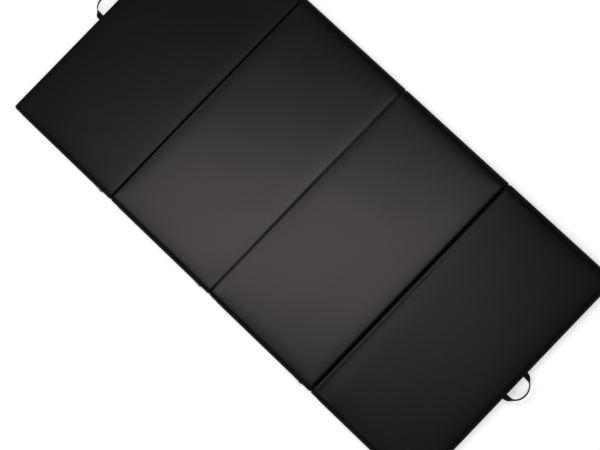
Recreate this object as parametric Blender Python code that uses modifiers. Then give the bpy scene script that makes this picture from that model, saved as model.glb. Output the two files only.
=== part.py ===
"""A folding exercise mat: foam panels in sewn covers, joined edge to edge by hinge strips.

Metres, +Z up. The open mat lies on z = 0, with its length along X and its hinges along Y.
Panels are numbered from the -X end. Odd hinges have their strip on the underside and even
ones on top, so that the mat folds up like an accordion.
"""

import math
from dataclasses import dataclass

import bmesh
import bpy
from mathutils import Vector

# The open mat
PANEL_COUNT = 4
PANEL_LENGTH = 0.597  # one panel along X, over its walls
PANEL_WIDTH = 1.200  # along Y, over its walls
THICKNESS = 0.050  # at the crown
HINGE_GAP = 0.004  # between the walls of two panels

# The padded form of one panel
CROWN = 0.002  # the middle of the top above its edges
CROWN_SHOULDER = 0.045  # in from the rim, where half the crown is reached
CROWN_FLAT = 0.140  # in from the rim, where the crown levels out
FRONT_RIM = 0.020  # radius of the upper edge along the long side that has the zips
BACK_RIM = 0.036  # radius of the upper edge along the other long side
LEFT_END_RIM = 0.012  # radius of the upper edge at the -X end
RIGHT_END_RIM = 0.022  # radius of the upper edge at the +X end
OPEN_RIM = 0.010  # radius of every other edge that has no hinge strip
TIGHT_RIM = 0.004  # radius of an edge beside a hinge strip
CORNER_RADIUS = 0.008  # in plan
LEAST_CORNER = 0.004  # in plan, on the surfaces farthest in
CROWN_ROUNDING = 2.0  # how much wider the crown's corners get for each unit that they lie in
WALL_BULGE = 0.0035  # a free wall at mid-height, beyond what its rims turn in
HINGE_WALL_BULGE = 0.001  # the same on a wall that faces another panel
SEAM_DRAW_IN = 0.0015  # a free seam at the middle of its side, beyond its ends
SEAM_DROP = 0.0018  # each seam below the top's edge, or above the bottom face

# Cover and fits
COVER = 0.001  # coated fabric
FIT = 0.0003  # between pieces that touch
PIVOT_RISE = 0.0005  # from a panel's face to the hinge axis that it folds about

# Hinge strips
STRIP_THICKNESS = 0.0008
STRIP_END_INSET = 0.040  # from the ends of the hinge, clear of the rounded edges
STRIP_LEG = 0.0075  # from the bottom of the fold to the stitched edges

# Carrying handles, of flat webbing
WEBBING_WIDTH = 0.025
WEBBING_THICKNESS = 0.002
HANDLE_SPAN = 0.124  # between the centres of the two ends
HANDLE_REACH = 0.060  # how far the loop stands out
HANDLE_SAG = 0.017  # how far its middle hangs below the seam
HANDLE_TURN = 0.042  # how far out the webbing has turned as far as it does
HANDLE_TWIST = math.radians(84)  # its turn there, 90 degrees being on edge
HANDLE_NOSE = 0.0007  # the loop's end beyond the swing axis
HANDLE_SWING_GAP = 0.0008  # from the loop's end to the sewn tail, so that the loop can swing
TAIL_LENGTH = 0.028  # webbing from the swing axis over the shoulder and into the seam
WEBBING_FIT = 0.0004  # the seam's slot round the webbing

# Zips, at mid-height of the -Y wall
ZIP_LENGTH = 0.500
ZIP_SLOT = 0.0104  # height of the opening in the boxing
ZIP_SLOT_END = 0.006  # slot beyond the chain at each end
TAPE_WIDTH = 0.024
TAPE_THICKNESS = 0.0006
TAPE_END = 0.012  # tape beyond the chain at each end
CHAIN_WIDTH = 0.006
CHAIN_PROUD = 0.0008  # chain above the wall's outermost line
STOP_LENGTH = 0.003
STOP_MARGIN = 0.0006  # how much a stop is wider than the chain

# Zip slider and pull
SLIDER_LENGTH = 0.014
SLIDER_PLATE = 0.0012
SLIDER_FLANGE = 0.0012  # thickness of the flanges beside the chain
FLANGE_DEPTH = 0.0014  # flanges below the underside of the plate
SLIDER_CORNER = 0.0025
SLIDER_SIDE_FIT = 0.0004
SLIDER_END_FIT = 0.001  # from the end stop, zip closed
BRIDGE_LENGTH = 0.009
BRIDGE_WIDTH = 0.0024
BRIDGE_METAL = 0.001
BRIDGE_BEND = 0.0009  # outer radius where it turns down to the plate
BRIDGE_CLEAR_HEIGHT = 0.0024  # under the bridge
PULL_LENGTH = 0.026
PULL_WIDTH = 0.006
PULL_THICKNESS = 0.0012
PULL_CORNER = 0.0012
PULL_BAR = 0.0013  # the bar that runs under the bridge
PULL_SIDE_FIT = 0.0004  # between the eyelet and the bridge's sides
PULL_END_FIT = 0.0008  # between the eyelet and the bridge's end

# Facets
CORNER_STEPS = 2
SIDE_POINTS = 3
# Rings up a wall from seam to seam, and of each sheet from its seam to its face
WALL_SHARES = (0.0, 0.02, 0.05, 0.11, 0.19, 0.32, 0.5, 0.66, 0.78, 0.87, 0.93, 0.97, 1.0)
SHEET_SHARES = (0.0, 0.5, 0.85, 1.0)
HANDLE_POINTS = 33
FOLD_STEPS = 4

# Places that follow from the sizes
PITCH = PANEL_LENGTH + HINGE_GAP
EDGE_HEIGHT = THICKNESS - CROWN
MID_HEIGHT = EDGE_HEIGHT / 2
TOP_SEAM = EDGE_HEIGHT - SEAM_DROP
BOTTOM_SEAM = SEAM_DROP
CORE_SKIN = COVER + FIT
HANDLE_HEIGHT = EDGE_HEIGHT - COVER - FIT / 2 - WEBBING_FIT - WEBBING_THICKNESS / 2
MAT_END = (PANEL_COUNT * PITCH - HINGE_GAP) / 2
FRONT = -PANEL_WIDTH / 2
SLIDER_PLATE_BASE = FRONT - CHAIN_PROUD - FIT
SLIDER_PLATE_FACE = SLIDER_PLATE_BASE - SLIDER_PLATE
PULL_AXIS_Y = SLIDER_PLATE_FACE - BRIDGE_CLEAR_HEIGHT / 2
SLIDER_REST = (ZIP_LENGTH - SLIDER_LENGTH) / 2 - SLIDER_END_FIT


@dataclass(frozen=True)
class Wall:
    """One side of a panel in section."""

    bulge: float
    draw_in: float
    top_rim: float
    bottom_rim: float

    def depth(self, height, skin):
        """How far inside the wall's outermost line the surface is that lies skin deep."""
        turned_in = 0.0
        for rim, past in (
            (self.top_rim, height - EDGE_HEIGHT + self.top_rim),
            (self.bottom_rim, self.bottom_rim - height),
        ):
            radius = rim - skin
            reach = min(max(past, 0.0), radius)
            turned_in += radius - math.sqrt(radius**2 - reach**2)
        return skin + turned_in + self.bulge * waist(height)


def waist(height):
    """Share of a wall's bulge and draw-in that a height has: 0 at mid-height, 1 at the faces."""
    return ((height - MID_HEIGHT) / MID_HEIGHT) ** 2


def wall_heights(gap=FIT / 2):
    """Heights of the rings of a wall, which ends a gap short of both seams."""
    low, high = BOTTOM_SEAM + gap, TOP_SEAM - gap
    return [low + (high - low) * share for share in WALL_SHARES]


def sheet_heights(is_top, skin, gap=FIT / 2):
    """Heights of the rings of a sheet's surface that lies skin deep, from its seam to its face."""
    if is_top:
        start, end = TOP_SEAM + gap, EDGE_HEIGHT - skin
    else:
        start, end = BOTTOM_SEAM - gap, skin
    return [start + (end - start) * share for share in SHEET_SHARES]


FRONT_WALL = Wall(WALL_BULGE, SEAM_DRAW_IN, FRONT_RIM, OPEN_RIM)
BACK_WALL = Wall(WALL_BULGE, SEAM_DRAW_IN, BACK_RIM, OPEN_RIM)
LEFT_END_WALL = Wall(WALL_BULGE, SEAM_DRAW_IN, LEFT_END_RIM, OPEN_RIM)
RIGHT_END_WALL = Wall(WALL_BULGE, SEAM_DRAW_IN, RIGHT_END_RIM, OPEN_RIM)
WALL_BESIDE_TOP_STRIP = Wall(HINGE_WALL_BULGE, 0.0, TIGHT_RIM, OPEN_RIM)
WALL_BESIDE_BOTTOM_STRIP = Wall(HINGE_WALL_BULGE, 0.0, OPEN_RIM, TIGHT_RIM)


def strip_is_on_top(hinge):
    """Even hinges have their strip on top of the mat."""
    return hinge % 2 == 0


def wall_at_hinge(hinge):
    """The wall that a panel has beside a hinge, or at an end of the mat."""
    if hinge == 0:
        return LEFT_END_WALL
    if hinge == PANEL_COUNT:
        return RIGHT_END_WALL
    return WALL_BESIDE_TOP_STRIP if strip_is_on_top(hinge) else WALL_BESIDE_BOTTOM_STRIP


def panel_centre(number):
    return (number - (PANEL_COUNT + 1) / 2) * PITCH


def hinge_place(hinge):
    """The point where a hinge's axis crosses the mat's middle."""
    height = THICKNESS + PIVOT_RISE if strip_is_on_top(hinge) else -PIVOT_RISE
    return Vector(((hinge - PANEL_COUNT / 2) * PITCH, 0, height))


# Scene


def clear_scene():
    for item in list(bpy.data.objects):
        bpy.data.objects.remove(item, do_unlink=True)


def new_collection(name):
    collection = bpy.data.collections.new(name)
    bpy.context.scene.collection.children.link(collection)
    return collection


def material(name, colour, roughness, metallic=0.0):
    made = bpy.data.materials.new(name)
    made.use_nodes = True
    shader = made.node_tree.nodes["Principled BSDF"]
    shader.inputs["Base Color"].default_value = (*colour, 1)
    shader.inputs["Roughness"].default_value = roughness
    shader.inputs["Metallic"].default_value = metallic
    made.diffuse_color = (*colour, 1)
    return made


def place(name, mesh, collection, look=None, parent=None, at=Vector((0, 0, 0))):
    """Puts a mesh in the scene at a world point, under its parent."""
    item = bpy.data.objects.new(name, mesh)
    if look and look.name not in mesh.materials:
        mesh.materials.append(look)
    collection.objects.link(item)
    item.location = at
    if parent:
        item.parent = parent
        item.location = at - world_place(parent)
    return item


def world_place(item):
    """World position of an object whose parents are only moved, never turned."""
    return item.location + (world_place(item.parent) if item.parent else Vector((0, 0, 0)))


def axis_empty(name, at, collection, parent=None):
    """An empty on a joint's axis, which carries everything beyond the joint."""
    return place(name, None, collection, parent=parent, at=at)


# Solids


def mesh_of(name, shape):
    bmesh.ops.recalc_face_normals(shape, faces=shape.faces)
    mesh = bpy.data.meshes.new(name)
    shape.to_mesh(mesh)
    shape.free()
    mesh.shade_smooth()
    mesh.set_sharp_from_angle(angle=math.radians(40))
    return mesh


def loft(name, rings, is_endless=False):
    """Skins a row of rings with as many points each: capped, or joined last to first.

    Every facet pair is split from its lower left to its upper right, whichever way the row
    runs, so that the layers of a cover and its core stay parallel.
    """
    shape = bmesh.new()
    loops = [[shape.verts.new(point) for point in ring] for ring in rings]
    following = loops[1:] + loops[:1] if is_endless else loops[1:]
    for near, far in zip(loops, following):
        low, high = (near, far) if far[0].co.z > near[0].co.z else (far, near)
        for i in range(len(low)):
            j = (i + 1) % len(low)
            shape.faces.new((low[i], low[j], high[j]))
            shape.faces.new((low[i], high[j], high[i]))
    if not is_endless:
        shape.faces.new(loops[0][::-1])
        shape.faces.new(loops[-1])
    return mesh_of(name, shape)


def block(name, low, high, round_along=None, radius=0.0, segments=3):
    """A box between two corners. Edges that run along one axis can be rounded."""
    shape = bmesh.new()
    bmesh.ops.create_cube(shape, size=1.0)
    low, high = Vector(low), Vector(high)
    bmesh.ops.scale(shape, vec=high - low, verts=shape.verts)
    bmesh.ops.translate(shape, vec=(low + high) / 2, verts=shape.verts)
    if round_along is not None:
        edges = [
            edge
            for edge in shape.edges
            if abs(edge.verts[0].co[round_along] - edge.verts[1].co[round_along]) > 1e-6
        ]
        bmesh.ops.bevel(shape, geom=edges, offset=radius, segments=segments, affect="EDGES", profile=0.5)
    return mesh_of(name, shape)


def combine(item, other, operation):
    """Adds an exact Boolean between an object and a mesh object."""
    step = item.modifiers.new(other.name, "BOOLEAN")
    step.operation = operation
    step.solver = "EXACT"
    step.object = other
    other.hide_render = True
    other.display_type = "WIRE"


def baked(item):
    """The object's mesh with its modifiers applied."""
    bpy.context.view_layer.update()
    evaluated = item.evaluated_get(bpy.context.evaluated_depsgraph_get())
    mesh = bpy.data.meshes.new_from_object(evaluated)
    mesh.name = item.name
    return mesh


# Panels


@dataclass(frozen=True)
class Panel:
    """A panel in its own frame: x is 0 at its middle, z is 0 at the floor."""

    left: Wall
    right: Wall

    def walls(self):
        """The four walls, counter-clockwise from +X."""
        return self.right, BACK_WALL, self.left, FRONT_WALL

    def ring(self, height, skin, recess=0.0, inset=0.0, rise=0.0, corner=CORNER_RADIUS):
        """Points round the panel at one height, with the front wall set back by the recess."""
        into = [wall.depth(height, skin) + inset for wall in self.walls()]
        into[3] += recess
        points = []
        arcs = [self.corner(quadrant, into, height + rise, corner) for quadrant in range(4)]
        for side, arc in enumerate(arcs):
            following = (side + 1) % 4
            points += arc
            pinch = self.walls()[following].draw_in * waist(height)
            turn = side * math.pi / 2
            inward = Vector((math.sin(turn), -math.cos(turn), 0))
            for step in range(1, SIDE_POINTS + 1):
                share = step / (SIDE_POINTS + 1)
                depth = pinch * pinch_share(step)
                points.append(arc[-1].lerp(arcs[following][0], share) + inward * depth)
        return points

    def corner(self, quadrant, into, height, radius):
        """One rounded corner in plan, concentric with the cover's."""
        first, second = into[quadrant], into[(quadrant + 1) % 4]
        into_x, into_y = (first, second) if quadrant % 2 == 0 else (second, first)
        across = 1 if quadrant in (0, 3) else -1
        along = 1 if quadrant in (0, 1) else -1
        radius_x = max(radius - into_x, LEAST_CORNER)
        radius_y = max(radius - into_y, LEAST_CORNER)
        centre_x = across * (PANEL_LENGTH / 2 - into_x - radius_x)
        centre_y = along * (PANEL_WIDTH / 2 - into_y - radius_y)
        arc = []
        for step in range(CORNER_STEPS + 1):
            angle = (quadrant + step / CORNER_STEPS) * math.pi / 2
            x = centre_x + radius_x * math.cos(angle)
            y = centre_y + radius_y * math.sin(angle)
            arc.append(Vector((x, y, height)))
        return arc

    def rings(self, heights, skin, recess=0.0):
        """Rings of one surface at each height in turn."""
        return [self.ring(height, skin, recess) for height in heights]

    def crown_rings(self, skin, recess=0.0):
        """Rings up the crown from the top's edge."""
        rings = []
        for inset, rise in ((CROWN_SHOULDER, CROWN / 2), (CROWN_FLAT, CROWN)):
            corner = CORNER_RADIUS + CROWN_ROUNDING * inset
            rings.append(self.ring(EDGE_HEIGHT - skin, skin, recess, inset, rise, corner))
        return rings


def pinch_share(step):
    """Share of a side's draw-in that its points have: none at its ends, all at its middle."""
    share = step / (SIDE_POINTS + 1)
    return 4 * share * (1 - share)


def foam_core_mesh(panel):
    """Foam block that fills the cover, set back behind the zip's tape."""
    recess = TAPE_THICKNESS + FIT
    heights = sheet_heights(False, CORE_SKIN, 0)[:0:-1] + wall_heights(0)
    heights += sheet_heights(True, CORE_SKIN, 0)[1:]
    rings = panel.rings(heights, CORE_SKIN, recess)
    return loft("foam_core", rings + panel.crown_rings(CORE_SKIN, recess))


def top_sheet_mesh(panel):
    """Upper sheet with its crown, turned down over the rim as far as the seam."""
    inside = panel.rings(sheet_heights(True, COVER), COVER) + panel.crown_rings(COVER)
    outside = panel.rings(sheet_heights(True, 0.0), 0.0) + panel.crown_rings(0.0)
    return loft("top_sheet", inside[::-1] + outside)


def bottom_sheet_mesh(panel):
    """Lower sheet, flat on the floor, turned up over the rim as far as the seam."""
    inside = panel.rings(sheet_heights(False, COVER), COVER)
    outside = panel.rings(sheet_heights(False, 0.0), 0.0)
    return loft("bottom_sheet", inside[::-1] + outside)


def boxing_mesh(panel):
    """Side wall of the cover, one band all the way round, over both rims from seam to seam."""
    outside = panel.rings(wall_heights(), 0.0)
    inside = panel.rings(wall_heights(), COVER)
    return loft("boxing", outside + inside[::-1], is_endless=True)


def make_panel(number, parent, looks, parts):
    """The cover and core of one panel, with their zip."""
    centre = Vector((panel_centre(number), 0, 0))
    panel = Panel(left=wall_at_hinge(number - 1), right=wall_at_hinge(number))
    made = {}
    for kind, mesh, look in (
        ("foam_core", foam_core_mesh(panel), looks["foam"]),
        ("top_sheet", top_sheet_mesh(panel), looks["top_cover"]),
        ("bottom_sheet", bottom_sheet_mesh(panel), looks["bottom_cover"]),
        ("boxing", boxing_mesh(panel), looks["wall_cover"]),
    ):
        made[kind] = place(f"{kind}_{number}", mesh, parts, look, parent, centre)
    return made


# Zips


def along_x(section, start, end):
    """Two copies of a section of (y, z) points, at two places along X."""
    return [[Vector((x, y, z)) for y, z in section] for x in (start, end)]


def depth_at(marks, height):
    """How deep a row of marks lies at a height between two of them."""
    for (depth, low), (next_depth, high) in zip(marks, marks[1:]):
        if low <= height <= high:
            return depth + (next_depth - depth) * (height - low) / (high - low)
    raise ValueError("no mark lies beyond this height")


def tape_section(x):
    """The tape's section in y and z at x, bent and drawn in like the wall in front of it."""
    half_side = PANEL_LENGTH / 2 - CORNER_RADIUS
    place_along = (x / half_side + 1) / 2 * (SIDE_POINTS + 1)
    step = math.floor(place_along)
    pinch = pinch_share(step) + (pinch_share(step + 1) - pinch_share(step)) * (place_along - step)
    drawn_in = [
        (FRONT_WALL.depth(height, CORE_SKIN) + SEAM_DRAW_IN * pinch * waist(height), height)
        for height in wall_heights(0)
    ]
    low, high = MID_HEIGHT - TAPE_WIDTH / 2, MID_HEIGHT + TAPE_WIDTH / 2
    between = [mark for mark in drawn_in if low < mark[1] < high]
    marks = [(depth_at(drawn_in, low), low), *between, (depth_at(drawn_in, high), high)]
    outside = [Vector((x, FRONT + depth, height)) for depth, height in marks]
    return outside + [point + Vector((0, TAPE_THICKNESS, 0)) for point in outside[::-1]]


def tape_mesh():
    """Tape behind the boxing, with a section at each of the wall's own points."""
    end = ZIP_LENGTH / 2 + TAPE_END
    half_side = PANEL_LENGTH / 2 - CORNER_RADIUS
    points = [half_side * (2 * step / (SIDE_POINTS + 1) - 1) for step in range(1, SIDE_POINTS + 1)]
    inner = [x for x in points if abs(x) < end]
    return loft("zip_tape", [tape_section(x) for x in (-end, *inner, end)])


def chain_section(margin):
    """Low half-round section of the coil, in y and z."""
    half = CHAIN_WIDTH / 2 + margin
    base = FRONT + COVER
    face = FRONT - CHAIN_PROUD - min(margin, FIT / 2)
    shoulder = (base + face) / 2
    return [
        (base, MID_HEIGHT - half),
        (shoulder, MID_HEIGHT - half),
        (face, MID_HEIGHT - half / 2),
        (face, MID_HEIGHT + half / 2),
        (shoulder, MID_HEIGHT + half),
        (base, MID_HEIGHT + half),
    ]


def chain_mesh():
    """Closed coil with a wider stop at each end."""
    half = ZIP_LENGTH / 2
    stop, coil = chain_section(STOP_MARGIN), chain_section(0.0)
    rings = along_x(stop, -half - STOP_LENGTH, -half)
    rings += along_x(coil, -half, half)
    rings += along_x(stop, half, half + STOP_LENGTH)
    return loft("zip_chain", rings)


def slider_mesh(cutters):
    """Slider that straddles the coil, with a bridge for the pull. Its origin is on the pull's axis."""
    inner = CHAIN_WIDTH / 2 + SLIDER_SIDE_FIT
    half_width = inner + SLIDER_FLANGE
    half_length = SLIDER_LENGTH / 2
    base, face = SLIDER_PLATE_BASE - PULL_AXIS_Y, SLIDER_PLATE_FACE - PULL_AXIS_Y
    foot = base + FLANGE_DEPTH
    low, high = (-half_length, face, -half_width), (half_length, foot, half_width)
    body = place("slider_body", block("slider_body", low, high, 1, SLIDER_CORNER), cutters)
    channel = block(
        "slider_channel", (-SLIDER_LENGTH, base, -inner), (SLIDER_LENGTH, foot + FLANGE_DEPTH, inner)
    )
    combine(body, place("slider_channel", channel, cutters), "DIFFERENCE")
    outer = BRIDGE_LENGTH / 2
    clear = BRIDGE_CLEAR_HEIGHT
    bridge = block(
        "slider_bridge",
        (-outer, face - clear - BRIDGE_METAL, -BRIDGE_WIDTH / 2),
        (outer, face + SLIDER_PLATE / 2, BRIDGE_WIDTH / 2),
        2,
        BRIDGE_BEND,
    )
    window = block(
        "bridge_window",
        (-outer + BRIDGE_METAL, face - clear, -BRIDGE_WIDTH),
        (outer - BRIDGE_METAL, face, BRIDGE_WIDTH),
    )
    bridge_item = place("slider_bridge", bridge, cutters)
    combine(bridge_item, place("bridge_window", window, cutters), "DIFFERENCE")
    combine(body, bridge_item, "UNION")
    return baked(body)


def pull_mesh(cutters):
    """Flat tab with an eyelet. Its origin is in the bar that runs under the bridge."""
    half_bar = PULL_BAR / 2
    half_width, half_thickness = PULL_WIDTH / 2, PULL_THICKNESS / 2
    tab = place(
        "pull_tab",
        block(
            "pull_tab",
            (-PULL_LENGTH + half_bar, -half_thickness, -half_width),
            (half_bar, half_thickness, half_width),
            1,
            PULL_CORNER,
        ),
        cutters,
    )
    window = block(
        "eyelet_window",
        (-BRIDGE_LENGTH / 2 - PULL_END_FIT, -PULL_THICKNESS, -BRIDGE_WIDTH / 2 - PULL_SIDE_FIT),
        (-half_bar, PULL_THICKNESS, BRIDGE_WIDTH / 2 + PULL_SIDE_FIT),
    )
    combine(tab, place("eyelet_window", window, cutters), "DIFFERENCE")
    return baked(tab)


def make_zip(number, boxing, parent, meshes, looks, parts, cutters):
    """The zip in a panel's front wall, closed, with its slider against the +X stop."""
    centre = Vector((panel_centre(number), 0, 0))
    end = ZIP_LENGTH / 2 + ZIP_SLOT_END
    slot = block(
        f"zip_slot_{number}",
        (-end, FRONT - OPEN_RIM, MID_HEIGHT - ZIP_SLOT / 2),
        (end, FRONT + OPEN_RIM, MID_HEIGHT + ZIP_SLOT / 2),
    )
    combine(boxing, place(slot.name, slot, cutters, at=centre), "DIFFERENCE")
    place(f"zip_tape_{number}", tape_mesh(), parts, looks["tape"], parent, centre)
    place(f"zip_chain_{number}", chain_mesh(), parts, looks["coil"], parent, centre)
    pull_axis = centre + Vector((SLIDER_REST, PULL_AXIS_Y, MID_HEIGHT))
    slider = place(f"zip_slider_{number}", meshes["slider"], parts, looks["metal"], parent, pull_axis)
    place(f"zip_pull_{number}", meshes["pull"], parts, looks["metal"], slider, pull_axis)


# Hinge strips


def strip_mesh(hinge):
    """Fabric strip in the gap of a hinge: a narrow U from one seam to the other."""
    fold_radius = (HINGE_GAP - STRIP_THICKNESS) / 2 - FIT
    points = [Vector((-fold_radius, 0, STRIP_LEG))]
    for step in range(FOLD_STEPS + 1):
        angle = math.pi * (1 + step / FOLD_STEPS)
        points.append(Vector((fold_radius * math.cos(angle), 0, fold_radius * (1 + math.sin(angle)))))
    points.append(Vector((fold_radius, 0, STRIP_LEG)))
    lowest = FIT + STRIP_THICKNESS / 2
    half = PANEL_WIDTH / 2 - STRIP_END_INSET
    rings = []
    for y in (-half, half):
        rings.append([Vector((point.x, y, point.z + lowest)) for point in points])
    shape = bmesh.new()
    loops = [[shape.verts.new(point) for point in ring] for ring in rings]
    for i in range(len(points) - 1):
        shape.faces.new((loops[0][i], loops[0][i + 1], loops[1][i + 1], loops[1][i]))
    if strip_is_on_top(hinge):
        for vertex in shape.verts:
            vertex.co.z = EDGE_HEIGHT - vertex.co.z
    return mesh_of(f"hinge_strip_{hinge}", shape)


def make_hinge_strip(hinge, parent, looks, parts):
    """A hinge strip, carried by the panel nearer to the mat's middle."""
    at = Vector((hinge_place(hinge).x, 0, 0))
    strip = place(f"hinge_strip_{hinge}", strip_mesh(hinge), parts, looks["strip"], parent, at)
    thickness = strip.modifiers.new("thickness", "SOLIDIFY")
    thickness.thickness = STRIP_THICKNESS
    thickness.offset = 0.0
    thickness.use_even_offset = True


# Handles


def handle_curve(outward, parts):
    """The webbing's path: half an ellipse that leaves flat and stands almost on edge at its middle."""
    section = bpy.data.curves.new("webbing_section", "CURVE")
    section.dimensions = "2D"
    outline = section.splines.new("POLY")
    outline.points.add(3)
    corners = ((-1, -1), (1, -1), (1, 1), (-1, 1))
    for point, (x, y) in zip(outline.points, corners):
        point.co = (x * WEBBING_WIDTH / 2, y * WEBBING_THICKNESS / 2, 0, 1)
    outline.use_cyclic_u = True
    section_item = place("webbing_section", section, parts)

    path = bpy.data.curves.new("handle_path", "CURVE")
    path.dimensions = "3D"
    path.twist_mode = "Z_UP"
    path.bevel_mode = "OBJECT"
    path.bevel_object = section_item
    path.use_fill_caps = True
    line = path.splines.new("POLY")
    line.points.add(HANDLE_POINTS)
    line.points[0].co = (-outward * HANDLE_NOSE, -HANDLE_SPAN / 2, 0, 1)
    for step in range(HANDLE_POINTS - 1):
        angle = math.pi * step / (HANDLE_POINTS - 2)
        out = math.sin(angle)
        turned = min(HANDLE_REACH * out / HANDLE_TURN, 1.0)
        point = line.points[step + 1]
        x = outward * HANDLE_REACH * out
        point.co = (x, -HANDLE_SPAN / 2 * math.cos(angle), -HANDLE_SAG * out, 1)
        point.tilt = outward * HANDLE_TWIST * turned**2 * (3 - 2 * turned)
    line.points[HANDLE_POINTS].co = (-outward * HANDLE_NOSE, HANDLE_SPAN / 2, 0, 1)
    return place("handle_path", path, parts), section_item


def handle_mesh(name, outward, parts):
    """The free loop of webbing as a mesh."""
    path, section = handle_curve(outward, parts)
    mesh = baked(path)
    for item in (path, section):
        bpy.data.objects.remove(item, do_unlink=True)
    shape = bmesh.new()
    shape.from_mesh(mesh)
    bmesh.ops.remove_doubles(shape, verts=shape.verts, dist=1e-6)
    return mesh_of(name, shape)


def make_handle(end, outward, parent, made, looks, parts, cutters):
    """A handle at one end of the mat: a loop that swings and two tails in the top seam."""
    top_sheet, boxing, foam_core = made["top_sheet"], made["boxing"], made["foam_core"]
    axis = Vector((outward * MAT_END, 0, HANDLE_HEIGHT))
    name = f"handle_{end}"
    place(name, handle_mesh(name, outward, parts), parts, looks["webbing"], parent, axis)
    outer = -outward * (HANDLE_NOSE + HANDLE_SWING_GAP)
    inner = outer - outward * TAIL_LENGTH
    half_width, half_thickness = WEBBING_WIDTH / 2, WEBBING_THICKNESS / 2
    for side, y in (("left", -HANDLE_SPAN / 2), ("right", HANDLE_SPAN / 2)):
        at = axis + Vector((0, y, 0))
        low_x, high_x = sorted((outer, inner))
        tail = block(
            f"{name}_tail_{side}", (low_x, -half_width, -half_thickness), (high_x, half_width, half_thickness)
        )
        place(tail.name, tail, parts, looks["webbing"], parent, at)
        wide, thick = half_width + WEBBING_FIT, half_thickness + WEBBING_FIT
        low_x, high_x = sorted((outward * OPEN_RIM, inner - outward * WEBBING_FIT))
        for cover, top in ((top_sheet, thick), (boxing, thick), (foam_core, thick + CROWN)):
            slot = block(f"{cover.name}_slot_{side}", (low_x, -wide, -thick), (high_x, wide, top))
            combine(cover, place(slot.name, slot, cutters, at=at), "DIFFERENCE")


# The whole mat


def make_looks():
    black = (0.012, 0.012, 0.012)
    return {
        "foam": material("foam", (0.75, 0.76, 0.78), 0.9),
        "top_cover": material("top_cover", (0.028, 0.027, 0.026), 0.45),
        "bottom_cover": material("bottom_cover", black, 0.6),
        "wall_cover": material("wall_cover", black, 0.5),
        "strip": material("hinge_cover", black, 0.55),
        "webbing": material("webbing", (0.010, 0.010, 0.011), 0.8),
        "tape": material("zip_tape", (0.010, 0.010, 0.010), 0.9),
        "coil": material("zip_coil", (0.014, 0.014, 0.014), 0.4),
        "metal": material("zip_metal", (0.06, 0.06, 0.065), 0.35, 0.8),
    }


def panel_carriers(parts):
    """What carries each panel: nothing for the root panel, and an empty on its hinge for others."""
    root = PANEL_COUNT // 2
    carriers = {root: None}
    for number in range(root - 1, 0, -1):
        carriers[number] = axis_empty(
            f"hinge_axis_{number}", hinge_place(number), parts, carriers[number + 1]
        )
    for number in range(root + 1, PANEL_COUNT + 1):
        carriers[number] = axis_empty(
            f"hinge_axis_{number - 1}", hinge_place(number - 1), parts, carriers[number - 1]
        )
    return carriers


def main():
    clear_scene()
    parts = new_collection("folding_exercise_mat")
    cutters = new_collection("cutters")
    looks = make_looks()
    meshes = {"slider": slider_mesh(cutters), "pull": pull_mesh(cutters)}
    carriers = panel_carriers(parts)
    root = PANEL_COUNT // 2
    for number, parent in sorted(carriers.items()):
        made = make_panel(number, parent, looks, parts)
        make_zip(number, made["boxing"], parent, meshes, looks, parts, cutters)
        if number in (1, PANEL_COUNT):
            outward = -1 if number == 1 else 1
            make_handle(number, outward, parent, made, looks, parts, cutters)
    for hinge in range(1, PANEL_COUNT):
        carrier = carriers[hinge + 1] if hinge < root else carriers[hinge]
        make_hinge_strip(hinge, carrier, looks, parts)
    for item in cutters.objects:
        item.hide_render = True
        item.display_type = "WIRE"


main()
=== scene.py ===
"""Dresses the folding exercise mat: four foam panels in sewn covers, with hinge strips, handles and zips."""

import logging
import math
from collections.abc import Callable
from dataclasses import dataclass, field, replace
from enum import Enum

import bpy
import numpy as np
from mathutils import Matrix, Vector, noise


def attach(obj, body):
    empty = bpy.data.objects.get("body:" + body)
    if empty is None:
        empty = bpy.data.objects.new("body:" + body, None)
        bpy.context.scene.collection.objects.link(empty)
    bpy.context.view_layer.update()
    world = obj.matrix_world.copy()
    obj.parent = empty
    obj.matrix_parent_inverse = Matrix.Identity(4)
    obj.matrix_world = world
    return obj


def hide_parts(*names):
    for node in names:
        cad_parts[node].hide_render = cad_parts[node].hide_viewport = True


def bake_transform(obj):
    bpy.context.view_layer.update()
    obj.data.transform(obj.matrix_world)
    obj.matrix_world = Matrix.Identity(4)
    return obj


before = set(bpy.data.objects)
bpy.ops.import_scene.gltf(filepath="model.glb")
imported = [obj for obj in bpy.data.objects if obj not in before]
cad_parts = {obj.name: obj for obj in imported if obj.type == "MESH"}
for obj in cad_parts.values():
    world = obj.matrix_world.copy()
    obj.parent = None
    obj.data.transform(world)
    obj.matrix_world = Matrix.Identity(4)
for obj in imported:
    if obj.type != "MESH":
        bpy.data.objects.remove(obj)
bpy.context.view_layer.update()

log = logging.getLogger("folding_mat")

Colour = tuple[float, float, float, float]
Faces = list[tuple[int, ...]]
Line = tuple[np.ndarray, np.ndarray]  # points, and a direction at each
Material = bpy.types.Material
Object = bpy.types.Object
Place = tuple[float, float, float]
Socket = bpy.types.NodeSocket

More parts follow.
